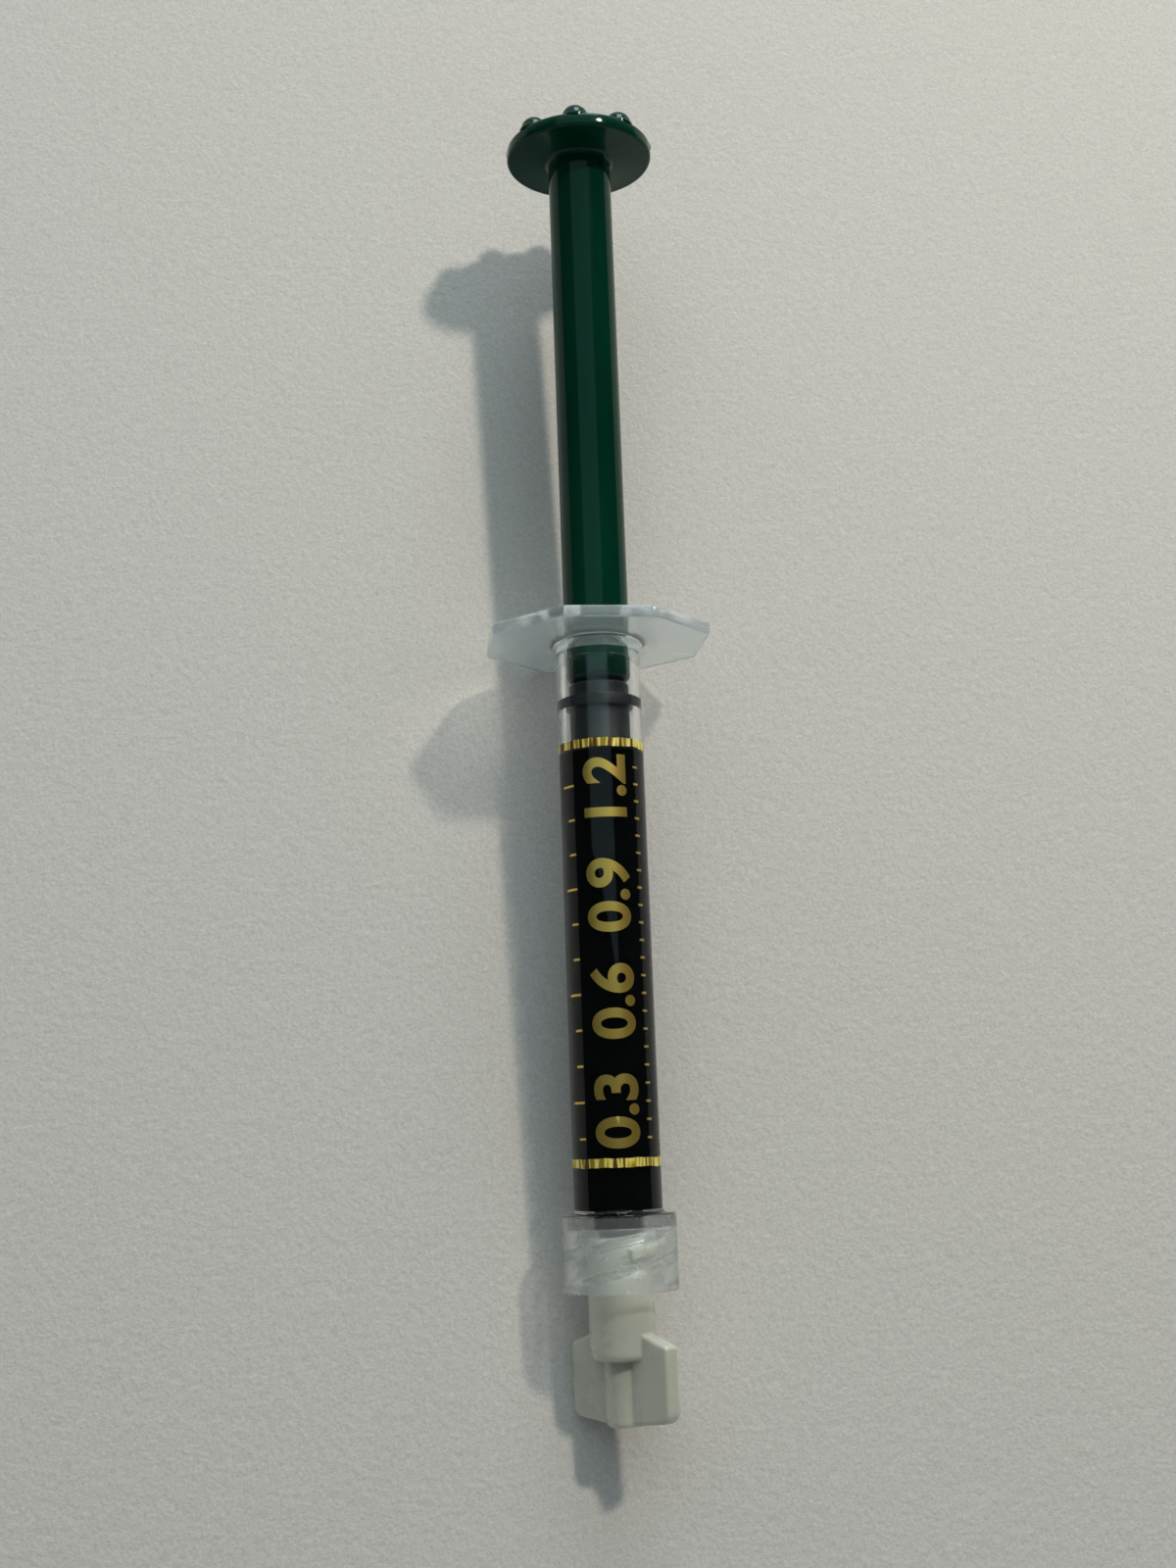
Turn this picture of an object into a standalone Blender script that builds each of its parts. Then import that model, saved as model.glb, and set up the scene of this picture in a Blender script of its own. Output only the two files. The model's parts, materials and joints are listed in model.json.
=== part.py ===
"""Prefilled luer-lock delivery syringe for dental gel, lying on its finger flange and its nose.

The syringe is modelled along its own Z axis: 0 is the thumb side of the finger flange,
+Z runs to the thumb disc and -Z to the nozzle and the tip cap. +Y is up once it lies down.
The empty "syringe" then lays it on the table plane z = 0, nose down, until the cap touches.
"""

import math

import bmesh
import bpy
from mathutils import Matrix, Vector

MM = 0.001

# Barrel moulding: tube, octagonal finger flange, nozzle and luer-lock collar in one piece.
BORE_DIAMETER = 6.35 * MM
BARREL_WALL = 0.75 * MM
BORE_DEPTH = 52.8 * MM
BORE_LEAD_IN = 0.3 * MM
BORE_END_CHAMFER = 0.4 * MM
FLANGE_ACROSS_FLATS = 20.2 * MM
FLANGE_THICKNESS = 1.1 * MM
FLANGE_EDGE_ROUND = 0.25 * MM
FLANGE_CORNER_ROUND = 0.12 * MM
FLANGE_FILLET = 0.9 * MM
SHOULDER_FILLET = 0.45 * MM

# The collar is built outward from the nozzle: socket, hub of the cap, thread, collar wall.
BORE_END_TO_COLLAR = 0.2 * MM
COLLAR_WALL = 1.05 * MM
COLLAR_LENGTH = 6.65 * MM
COLLAR_WEB = 1.2 * MM
COLLAR_EDGE_ROUND = 0.2 * MM

# Luer taper: 6 % on the diameter, shared by the nozzle and the socket of the cap.
LUER_TAPER = 0.06
NOZZLE_TIP_DIAMETER = 3.95 * MM
NOZZLE_BEYOND_COLLAR = 2.2 * MM
NOZZLE_CHANNEL_DIAMETER = 2.0 * MM
NOZZLE_TIP_CHAMFER = 0.2 * MM
TAPER_CLEARANCE = 0.1 * MM

# Luer-lock thread: right-hand, two starts.
THREAD_LEAD = 5.0 * MM
THREAD_STARTS = 2
THREAD_HEIGHT = 0.5 * MM
THREAD_ROOT_WIDTH = 0.95 * MM
THREAD_CREST_WIDTH = 0.4 * MM
THREAD_END_MARGIN = 0.35 * MM
THREAD_STEPS_PER_TURN = 24
THREAD_BURIAL = 0.3 * MM
LUG_CLEARANCE = 0.25 * MM
LUG_SIDE_CLEARANCE = 0.225 * MM
HUB_TO_THREAD_CLEARANCE = 0.55 * MM

# Plunger rod with its thumb disc.
ROD_CLEARANCE = 0.125 * MM
ROD_HEAD_RELIEF = 0.05 * MM
ROD_WAIST_RELIEF = 0.15 * MM
ROD_HEAD_LENGTH = 2.1 * MM
ROD_WAIST_LENGTH = 2.4 * MM
ROD_HEAD_ROUND = 0.45 * MM
PLUNGER_EXTENSION = 48.4 * MM
THUMB_DISC_DIAMETER = 14.2 * MM
THUMB_DISC_THICKNESS = 1.35 * MM
THUMB_DISC_DISH = 0.2 * MM
THUMB_DISC_FILLET = 0.5 * MM
THUMB_DISC_EDGE_ROUND = 0.35 * MM
GRIP_BUMP_RADIUS = 1.3 * MM
GRIP_BUMP_COUNT = 8
GRIP_BUMP_PHASE = math.radians(35.5)
GRIP_BUMP_INSET = 0.05 * MM
STUD_NECK_DIAMETER = 3.0 * MM
STUD_NECK_LENGTH = 2.0 * MM
STUD_BARB_DIAMETER = 3.8 * MM
STUD_BARB_LENGTH = 1.6 * MM
STUD_BARB_LEAD = 0.5 * MM

# Rubber stopper, with a sealing rib at each end of its body.
STOPPER_REAR = 4.95 * MM
STOPPER_LENGTH = 7.05 * MM
STOPPER_BODY_RELIEF = 0.3 * MM
STOPPER_NECK_LENGTH = 1.35 * MM
STOPPER_RIB_WIDTH = 1.1 * MM
STOPPER_EDGE_ROUND = 0.35 * MM
RIB_CLEARANCE = 0.1 * MM
STUD_CLEARANCE = 0.25 * MM

# Gel in the bore and the nozzle, and the bead of it left in the cap.
GEL_CLEARANCE = 0.1 * MM
BEAD_GAP = 0.2 * MM
BEAD_LENGTH = 0.6 * MM
BEAD_ROUND = 0.2 * MM
BEAD_END_SHARE = 0.7

# Tip cap: a luer hub with two lugs and a pair of finger wings on a round core.
CAP_MOUTH_BELOW_WEB = 0.8 * MM
CAP_HUB_WALL = 0.7 * MM
CAP_HUB_PAST_SHOULDER = 2.25 * MM
CAP_HUB_EDGE_ROUND = 0.5 * MM
CAP_MOUTH_CHAMFER = 0.125 * MM
CAP_SOCKET_FLOOR = 0.3 * MM
CAP_LUG_ARC = math.radians(64)
CAP_LUG_STEPS = 6
CAP_LUG_CREST_SHARE = 0.75
CAP_WING_ANGLE = math.radians(129)
CAP_WING_SPAN = 11.5 * MM
CAP_WING_THICKNESS = 1.6 * MM
CAP_WING_SLOPE = 0.34
CAP_WING_LENGTH = 7.85 * MM
CAP_WING_FOOT_RISE = 0.6 * MM
CAP_WING_ROOT_RISE = 0.15 * MM
CAP_WING_ROOT_SHARE = 0.6
CAP_WING_CORNER = 1.0 * MM
CAP_WING_EDGE_ROUND = 0.3 * MM
CAP_CORE_DIAMETER = 3.5 * MM
CAP_CORE_CHAMFER = 0.25 * MM

# Printed foil rings on the barrel.
FOIL_BAND_WIDTH = 0.8 * MM
FOIL_THICKNESS = 0.08 * MM
FOIL_GAP = 0.03 * MM
UPPER_BAND_AT = 11.1 * MM
LOWER_BAND_FROM_BORE_END = 4.2 * MM

ROUND_SIDES = 48
BUMP_SIDES = 16
BUMP_RINGS = 8
WIDE_ROUND_STEPS = 4
SMALL_ROUND_STEPS = 3
SMOOTH_BELOW_ANGLE = math.radians(30)

# Sizes that follow from the ones above.
BORE_RADIUS = BORE_DIAMETER / 2
BARREL_RADIUS = BORE_RADIUS + BARREL_WALL
FLANGE_APOTHEM = FLANGE_ACROSS_FLATS / 2
COLLAR_TOP = -(BORE_DEPTH + BORE_END_TO_COLLAR)
COLLAR_FLOOR = COLLAR_TOP - COLLAR_WEB
COLLAR_END = COLLAR_TOP - COLLAR_LENGTH
NOZZLE_END = COLLAR_END - NOZZLE_BEYOND_COLLAR
CHANNEL_RADIUS = NOZZLE_CHANNEL_DIAMETER / 2
THREAD_PITCH = THREAD_LEAD / THREAD_STARTS
CAP_LUG_WIDTH = THREAD_PITCH - THREAD_ROOT_WIDTH - 2 * LUG_SIDE_CLEARANCE

ROD_RADIUS = BORE_RADIUS - ROD_CLEARANCE
DISC_UNDERSIDE = PLUNGER_EXTENSION
DISC_TOP = DISC_UNDERSIDE + THUMB_DISC_THICKNESS
DISC_RADIUS = THUMB_DISC_DIAMETER / 2
STOPPER_BACK = -STOPPER_REAR
ROD_SHOULDER = STOPPER_BACK + STUD_CLEARANCE
STOPPER_FRONT = STOPPER_BACK - STOPPER_LENGTH
RIB_RADIUS = BORE_RADIUS - RIB_CLEARANCE

CAP_MOUTH = COLLAR_FLOOR - CAP_MOUTH_BELOW_WEB
CAP_SOCKET_END = NOZZLE_END - BEAD_LENGTH - 2 * BEAD_GAP
CAP_WING_SHOULDER = CAP_SOCKET_END - CAP_SOCKET_FLOOR
CAP_HUB_END = CAP_WING_SHOULDER - CAP_HUB_PAST_SHOULDER
CAP_END = CAP_WING_SHOULDER - CAP_WING_LENGTH


def nozzle_radius(z):
    """Outer radius of the luer taper at height z; it grows from the nozzle's end to the web."""
    return NOZZLE_TIP_DIAMETER / 2 + LUER_TAPER / 2 * (z - NOZZLE_END)


CAP_SOCKET_MOUTH_RADIUS = nozzle_radius(CAP_MOUTH) + TAPER_CLEARANCE
CAP_HUB_RADIUS = CAP_SOCKET_MOUTH_RADIUS + CAP_HUB_WALL
THREAD_CREST_RADIUS = CAP_HUB_RADIUS + HUB_TO_THREAD_CLEARANCE
COLLAR_BORE_RADIUS = THREAD_CREST_RADIUS + THREAD_HEIGHT
COLLAR_RADIUS = COLLAR_BORE_RADIUS + COLLAR_WALL
CAP_LUG_RADIUS = COLLAR_BORE_RADIUS - LUG_CLEARANCE


def clear_scene():
    for obj in list(bpy.data.objects):
        bpy.data.objects.remove(obj, do_unlink=True)


def make_material(name, colour, roughness, metallic=0.0, alpha=1.0):
    material = bpy.data.materials.new(name)
    material.use_nodes = True
    shader = material.node_tree.nodes["Principled BSDF"]
    shader.inputs["Base Color"].default_value = (*colour, 1.0)
    shader.inputs["Roughness"].default_value = roughness
    shader.inputs["Metallic"].default_value = metallic
    shader.inputs["Alpha"].default_value = alpha
    material.diffuse_color = (*colour, alpha)
    return material


def circle(radius, z):
    """One ring of points around the syringe's axis."""
    step = 2 * math.pi / ROUND_SIDES
    return [
        Vector((radius * math.cos(i * step), radius * math.sin(i * step), z))
        for i in range(ROUND_SIDES)
    ]


def octagon(apothem, z):
    """A ring of the same number of points on an octagon with slightly blunted corners."""
    corner = FLANGE_APOTHEM / math.cos(math.pi / 8) - FLANGE_CORNER_ROUND
    points = []
    for i in range(ROUND_SIDES):
        angle = 2 * math.pi * i / ROUND_SIDES
        from_flat = (angle + math.pi / 8) % (math.pi / 4) - math.pi / 8
        radius = min(apothem / math.cos(from_flat), corner - (FLANGE_APOTHEM - apothem))
        points.append(Vector((radius * math.cos(angle), radius * math.sin(angle), z)))
    return points


def arc_profile(centre_radius, centre_z, radius, start, end, steps):
    """Points (radius, z) on a quarter round or other arc of a turned profile."""
    angles = [math.radians(start + (end - start) * i / steps) for i in range(steps + 1)]
    return [
        (centre_radius + radius * math.cos(a), centre_z + radius * math.sin(a)) for a in angles
    ]


def skin_rings(bm, rings, closed):
    """Join rings of equally many points with quads; open skins get a face at each end."""
    loops = [[bm.verts.new(point) for point in ring] for ring in rings]
    pairs = list(zip(loops, loops[1:]))
    if closed:
        pairs.append((loops[-1], loops[0]))
    for first, second in pairs:
        count = len(first)
        for i in range(count):
            j = (i + 1) % count
            bm.faces.new((first[i], first[j], second[j], second[i]))
    if not closed:
        bm.faces.new(loops[0])
        bm.faces.new(loops[-1])


def finish_mesh(name, bm):
    """Turn the faces outward, shade the rounds smooth and return the mesh."""
    bmesh.ops.recalc_face_normals(bm, faces=bm.faces)
    mesh = bpy.data.meshes.new(name)
    bm.to_mesh(mesh)
    bm.free()
    mesh.shade_smooth()
    mesh.set_sharp_from_angle(angle=SMOOTH_BELOW_ANGLE)
    return mesh


def add_object(name, mesh, material, parent):
    obj = bpy.data.objects.new(name, mesh)
    bpy.context.scene.collection.objects.link(obj)
    obj.parent = parent
    if material:
        mesh.materials.append(material)
    return obj


def turned(name, profile, material, parent, closed=False):
    """A body of revolution about the syringe's axis from (radius, z) points."""
    bm = bmesh.new()
    skin_rings(bm, [circle(radius, z) for radius, z in profile], closed)
    return add_object(name, finish_mesh(name, bm), material, parent)


def add_empty(name, parent=None):
    empty = bpy.data.objects.new(name, None)
    empty.empty_display_size = 0.005
    bpy.context.scene.collection.objects.link(empty)
    empty.parent = parent
    return empty


def unite(body, addition):
    """Weld an overlapping solid to the body with a Boolean union."""
    addition.hide_render = True
    addition.display_type = "WIRE"
    union = body.modifiers.new(addition.name, "BOOLEAN")
    union.operation = "UNION"
    union.object = addition


def groove_middle(angle):
    """Height of a thread groove's middle, just under the cap's mouth, at an angle."""
    lug_middle = CAP_MOUTH - CAP_LUG_WIDTH / 2 - THREAD_LEAD * CAP_LUG_ARC / (4 * math.pi)
    return lug_middle + THREAD_LEAD * (angle - CAP_WING_ANGLE) / (2 * math.pi)


def thread_ridge(name, start, parent):
    """One start of the collar's internal thread, a tapered rib buried in the collar's wall."""
    first_z = COLLAR_END + THREAD_END_MARGIN + THREAD_ROOT_WIDTH / 2
    last_z = COLLAR_FLOOR - THREAD_END_MARGIN - THREAD_ROOT_WIDTH / 2
    turns = (last_z - first_z) / THREAD_LEAD
    steps = math.ceil(turns * THREAD_STEPS_PER_TURN)
    ridge_at_zero = groove_middle(0) + THREAD_PITCH / 2 + start * THREAD_PITCH
    first_angle = 2 * math.pi * (first_z - ridge_at_zero) / THREAD_LEAD
    root_radius = COLLAR_BORE_RADIUS + THREAD_BURIAL
    slope = (THREAD_ROOT_WIDTH - THREAD_CREST_WIDTH) / 2 / THREAD_HEIGHT
    root_half = THREAD_ROOT_WIDTH / 2 + slope * THREAD_BURIAL
    crest_half = THREAD_CREST_WIDTH / 2
    rings = []
    for i in range(steps + 1):
        angle = first_angle + 2 * math.pi * turns * i / steps
        z = first_z + (last_z - first_z) * i / steps
        turn = Matrix.Rotation(angle, 3, "Z")
        section = (
            (root_radius, z - root_half),
            (THREAD_CREST_RADIUS, z - crest_half),
            (THREAD_CREST_RADIUS, z + crest_half),
            (root_radius, z + root_half),
        )
        rings.append([turn @ Vector((radius, 0, height)) for radius, height in section])
    bm = bmesh.new()
    skin_rings(bm, rings, closed=False)
    return add_object(name, finish_mesh(name, bm), None, parent)


def make_barrel(parent, material):
    collar_ledge = COLLAR_RADIUS - COLLAR_EDGE_ROUND - BARREL_RADIUS
    shoulder_round = min(SHOULDER_FILLET, collar_ledge / 2)
    flange_back = -FLANGE_THICKNESS
    nozzle_base = nozzle_radius(COLLAR_FLOOR)
    inside = [
        (BORE_RADIUS + BORE_LEAD_IN, 0),
        (BORE_RADIUS, -BORE_LEAD_IN),
        (BORE_RADIUS, BORE_END_CHAMFER - BORE_DEPTH),
        (BORE_RADIUS - BORE_END_CHAMFER, -BORE_DEPTH),
        (CHANNEL_RADIUS, -BORE_DEPTH),
        (CHANNEL_RADIUS, NOZZLE_END),
    ]
    nozzle = [
        (nozzle_radius(NOZZLE_END) - NOZZLE_TIP_CHAMFER, NOZZLE_END),
        (nozzle_radius(NOZZLE_END + NOZZLE_TIP_CHAMFER), NOZZLE_END + NOZZLE_TIP_CHAMFER),
        (nozzle_base, COLLAR_FLOOR),
    ]
    collar = [
        (COLLAR_BORE_RADIUS, COLLAR_FLOOR),
        (COLLAR_BORE_RADIUS, COLLAR_END + COLLAR_EDGE_ROUND),
        (COLLAR_BORE_RADIUS + COLLAR_EDGE_ROUND, COLLAR_END),
        (COLLAR_RADIUS - COLLAR_EDGE_ROUND, COLLAR_END),
        (COLLAR_RADIUS, COLLAR_END + COLLAR_EDGE_ROUND),
        (COLLAR_RADIUS, COLLAR_TOP - COLLAR_EDGE_ROUND),
        (COLLAR_RADIUS - COLLAR_EDGE_ROUND, COLLAR_TOP),
    ]
    shoulder = arc_profile(
        BARREL_RADIUS + shoulder_round,
        COLLAR_TOP + shoulder_round,
        shoulder_round,
        270,
        180,
        SMALL_ROUND_STEPS,
    )
    fillet = arc_profile(
        BARREL_RADIUS + FLANGE_FILLET,
        flange_back - FLANGE_FILLET,
        FLANGE_FILLET,
        180,
        90,
        WIDE_ROUND_STEPS,
    )
    rings = [circle(r, z) for r, z in inside + nozzle + collar + shoulder + fillet]
    edge = FLANGE_APOTHEM - FLANGE_EDGE_ROUND
    rings += [
        octagon(edge, flange_back),
        octagon(FLANGE_APOTHEM, flange_back + FLANGE_EDGE_ROUND),
        octagon(FLANGE_APOTHEM, -FLANGE_EDGE_ROUND),
        octagon(edge, 0),
    ]
    bm = bmesh.new()
    skin_rings(bm, rings, closed=True)
    barrel = add_object("barrel", finish_mesh("barrel", bm), material, parent)
    for start in range(THREAD_STARTS):
        unite(barrel, thread_ridge(f"thread_start_{start + 1}", start, parent))
    return barrel


def make_grip_bump(index, parent):
    """A round grip bump whose lower half is sunk in the thumb disc."""
    name = f"grip_bump_{index + 1}"
    ring_radius = DISC_RADIUS - GRIP_BUMP_RADIUS - GRIP_BUMP_INSET
    angle = GRIP_BUMP_PHASE + 2 * math.pi * index / GRIP_BUMP_COUNT
    bm = bmesh.new()
    bmesh.ops.create_uvsphere(
        bm, u_segments=BUMP_SIDES, v_segments=BUMP_RINGS, radius=GRIP_BUMP_RADIUS
    )
    bump = add_object(name, finish_mesh(name, bm), None, parent)
    bump.location = (ring_radius * math.cos(angle), ring_radius * math.sin(angle), DISC_TOP)
    return bump


def make_plunger_rod(parent, material):
    head_radius = ROD_RADIUS - ROD_HEAD_RELIEF
    waist_radius = ROD_RADIUS - ROD_WAIST_RELIEF
    head_top = ROD_SHOULDER + ROD_HEAD_LENGTH
    waist_top = head_top + ROD_WAIST_LENGTH
    neck_end = ROD_SHOULDER - STUD_NECK_LENGTH
    barb_end = neck_end - STUD_BARB_LENGTH
    neck_radius = STUD_NECK_DIAMETER / 2
    barb_radius = STUD_BARB_DIAMETER / 2
    stud = [
        (barb_radius - STUD_BARB_LEAD, barb_end),
        (barb_radius, barb_end + STUD_BARB_LEAD),
        (barb_radius, neck_end),
        (neck_radius, neck_end),
        (neck_radius, ROD_SHOULDER),
    ]
    head = arc_profile(
        head_radius - ROD_HEAD_ROUND,
        ROD_SHOULDER + ROD_HEAD_ROUND,
        ROD_HEAD_ROUND,
        270,
        360,
        WIDE_ROUND_STEPS,
    )
    shaft = [
        (head_radius, head_top),
        (waist_radius, head_top + ROD_WAIST_RELIEF),
        (waist_radius, waist_top),
        (ROD_RADIUS, waist_top + ROD_WAIST_RELIEF),
    ]
    fillet = arc_profile(
        ROD_RADIUS + THUMB_DISC_FILLET,
        DISC_UNDERSIDE - THUMB_DISC_DISH - THUMB_DISC_FILLET,
        THUMB_DISC_FILLET,
        180,
        90,
        SMALL_ROUND_STEPS,
    )
    edge = THUMB_DISC_EDGE_ROUND
    rim_centre = DISC_RADIUS - edge
    rim = arc_profile(rim_centre, DISC_UNDERSIDE + edge, edge, 270, 360, SMALL_ROUND_STEPS)
    rim += arc_profile(rim_centre, DISC_TOP - edge, edge, 0, 90, SMALL_ROUND_STEPS)
    rod = turned("plunger_rod", stud + head + shaft + fillet + rim, material, parent)
    for index in range(GRIP_BUMP_COUNT):
        unite(rod, make_grip_bump(index, parent))
    return rod


def make_stopper(parent, material):
    body_radius = RIB_RADIUS - STOPPER_BODY_RELIEF
    rear_rib = STOPPER_BACK - STOPPER_NECK_LENGTH
    front_rib = STOPPER_FRONT + STOPPER_RIB_WIDTH
    neck_radius = STUD_NECK_DIAMETER / 2 + STUD_CLEARANCE
    barb_radius = STUD_BARB_DIAMETER / 2 + STUD_CLEARANCE
    barb_start = ROD_SHOULDER - STUD_NECK_LENGTH + STUD_CLEARANCE
    barb_end = ROD_SHOULDER - STUD_NECK_LENGTH - STUD_BARB_LENGTH - STUD_CLEARANCE
    socket = [
        (barb_radius, barb_end),
        (barb_radius, barb_start),
        (neck_radius, barb_start),
        (neck_radius, STOPPER_BACK),
    ]
    outside = arc_profile(
        body_radius - STOPPER_EDGE_ROUND,
        STOPPER_BACK - STOPPER_EDGE_ROUND,
        STOPPER_EDGE_ROUND,
        90,
        0,
        SMALL_ROUND_STEPS,
    )
    outside += [
        (body_radius, rear_rib),
        (RIB_RADIUS, rear_rib),
        (RIB_RADIUS, rear_rib - STOPPER_RIB_WIDTH),
        (body_radius, rear_rib - STOPPER_RIB_WIDTH),
        (body_radius, front_rib),
        (RIB_RADIUS, front_rib),
        (RIB_RADIUS, STOPPER_FRONT + BORE_END_CHAMFER),
        (RIB_RADIUS - BORE_END_CHAMFER, STOPPER_FRONT),
    ]
    return turned("stopper", socket + outside, material, parent)


def make_gel_column(parent, material):
    """The filling: a plug in the bore and a thread of gel along the nozzle's channel."""
    radius = BORE_RADIUS - GEL_CLEARANCE
    channel = CHANNEL_RADIUS - GEL_CLEARANCE
    bore_end = GEL_CLEARANCE - BORE_DEPTH
    profile = [
        (radius, STOPPER_FRONT - GEL_CLEARANCE),
        (radius, bore_end + BORE_END_CHAMFER),
        (radius - BORE_END_CHAMFER, bore_end),
        (channel, bore_end),
        (channel, NOZZLE_END + GEL_CLEARANCE),
    ]
    return turned("gel_column", profile, material, parent)


def make_cap_gel(parent, material):
    """The bead of gel that the cap keeps in the end of its socket."""
    top = CAP_SOCKET_END + BEAD_GAP + BEAD_LENGTH
    bottom = CAP_SOCKET_END + BEAD_GAP
    radius = nozzle_radius(NOZZLE_END) - TAPER_CLEARANCE - BEAD_GAP
    profile = [
        (radius * BEAD_END_SHARE, top),
        (radius, top - BEAD_ROUND),
        (radius, bottom + BEAD_ROUND),
        (radius * BEAD_END_SHARE, bottom),
    ]
    return turned("cap_gel", profile, material, parent)


def make_cap_lug(index, parent):
    """A lug at the cap's mouth, as long as its arc and sloping with the thread."""
    name = f"cap_lug_{index + 1}"
    middle = CAP_WING_ANGLE + math.pi * index
    inner = CAP_HUB_RADIUS - THREAD_BURIAL
    outer = CAP_LUG_RADIUS
    half = CAP_LUG_WIDTH / 2
    flank = half * CAP_LUG_CREST_SHARE
    rings = []
    for i in range(CAP_LUG_STEPS + 1):
        swing = CAP_LUG_ARC * (i / CAP_LUG_STEPS - 0.5)
        z = groove_middle(CAP_WING_ANGLE + swing)
        turn = Matrix.Rotation(middle + swing, 3, "Z")
        section = ((inner, z - half), (outer, z - flank), (outer, z + flank), (inner, z + half))
        rings.append([turn @ Vector((radius, 0, height)) for radius, height in section])
    bm = bmesh.new()
    skin_rings(bm, rings, closed=False)
    return add_object(name, finish_mesh(name, bm), None, parent)


def wing_outline():
    """Half outline of the wings as (reach, z), from the shoulder at the hub to the foot."""
    reach = CAP_WING_SPAN / 2
    root = CAP_HUB_RADIUS * CAP_WING_ROOT_SHARE
    corner_top = CAP_WING_SHOULDER - CAP_WING_SLOPE * (reach - CAP_HUB_RADIUS)
    foot = CAP_END + CAP_WING_FOOT_RISE
    outline = [(root, CAP_WING_SHOULDER), (CAP_HUB_RADIUS, CAP_WING_SHOULDER)]
    outline += [(reach, corner_top)]
    outline += arc_profile(
        reach - CAP_WING_CORNER, foot + CAP_WING_CORNER, CAP_WING_CORNER, 0, -90, WIDE_ROUND_STEPS
    )
    outline += [(root, CAP_END + CAP_WING_ROOT_RISE)]
    return outline


def make_cap_wings(parent):
    """A flat plate through the axis, turned to the angle of the lugs."""
    half = CAP_WING_THICKNESS / 2
    right = wing_outline()
    left = [(-reach, z) for reach, z in reversed(right)]
    bm = bmesh.new()
    face = bm.faces.new([bm.verts.new((reach, -half, z)) for reach, z in right + left])
    extruded = bmesh.ops.extrude_face_region(bm, geom=[face])
    moved = [item for item in extruded["geom"] if isinstance(item, bmesh.types.BMVert)]
    bmesh.ops.translate(bm, vec=(0, CAP_WING_THICKNESS, 0), verts=moved)
    rims = [edge for edge in bm.edges if abs(edge.verts[0].co.y - edge.verts[1].co.y) < half]
    bmesh.ops.bevel(
        bm, geom=rims, offset=CAP_WING_EDGE_ROUND, segments=2, profile=0.5, affect="EDGES"
    )
    turn = Matrix.Rotation(CAP_WING_ANGLE, 3, "Z")
    bmesh.ops.rotate(bm, cent=(0, 0, 0), matrix=turn, verts=bm.verts)
    return add_object("cap_wings", finish_mesh("cap_wings", bm), None, parent)


def make_tip_cap(parent, material):
    socket_end = nozzle_radius(CAP_SOCKET_END) + TAPER_CLEARANCE
    edge = CAP_HUB_EDGE_ROUND
    hub = [
        (socket_end, CAP_SOCKET_END),
        (CAP_SOCKET_MOUTH_RADIUS, CAP_MOUTH),
        (CAP_HUB_RADIUS - CAP_MOUTH_CHAMFER, CAP_MOUTH),
        (CAP_HUB_RADIUS, CAP_MOUTH - CAP_MOUTH_CHAMFER),
    ]
    hub += arc_profile(
        CAP_HUB_RADIUS - edge, CAP_HUB_END + edge, edge, 0, -90, SMALL_ROUND_STEPS
    )
    cap = turned("tip_cap", hub, material, parent)
    core_radius = CAP_CORE_DIAMETER / 2
    core = turned(
        "cap_core",
        [
            (core_radius, CAP_HUB_END + edge),
            (core_radius, CAP_END + CAP_CORE_CHAMFER),
            (core_radius - CAP_CORE_CHAMFER, CAP_END),
        ],
        None,
        parent,
    )
    unite(cap, core)
    unite(cap, make_cap_wings(parent))
    for index in range(THREAD_STARTS):
        unite(cap, make_cap_lug(index, parent))
    return cap


def make_foil_band(name, middle, parent, material):
    inner = BARREL_RADIUS + FOIL_GAP
    outer = inner + FOIL_THICKNESS
    top = middle + FOIL_BAND_WIDTH / 2
    bottom = middle - FOIL_BAND_WIDTH / 2
    profile = [(inner, top), (inner, bottom), (outer, bottom), (outer, top)]
    return turned(name, profile, material, parent, closed=True)


def outline_points(pieces, matrix):
    """Every corner of the finished pieces, moved by a matrix."""
    depsgraph = bpy.context.evaluated_depsgraph_get()
    points = []
    for piece in pieces:
        evaluated = piece.evaluated_get(depsgraph)
        place = matrix @ evaluated.matrix_world
        points += [place @ vertex.co for vertex in evaluated.data.vertices]
    return points


def lay_down(syringe, pieces):
    """Lay the syringe on z = 0, nose down about the flange's lower edge until it touches."""
    pivot_depth = FLANGE_APOTHEM
    pivot_z = FLANGE_EDGE_ROUND - FLANGE_THICKNESS
    nose = [p for p in outline_points(pieces, Matrix()) if p.z < -BORE_DEPTH]
    tilt = min(math.atan2(pivot_depth + p.y, pivot_z - p.z) for p in nose)
    syringe.rotation_euler = (math.pi / 2 - tilt, 0, math.pi)
    bpy.context.view_layer.update()
    placed = outline_points(pieces, Matrix())
    low = Vector([min(p[axis] for p in placed) for axis in range(3)])
    high = Vector([max(p[axis] for p in placed) for axis in range(3)])
    syringe.location = (-(low.x + high.x) / 2, -(low.y + high.y) / 2, -low.z)
    bpy.context.view_layer.update()


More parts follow.
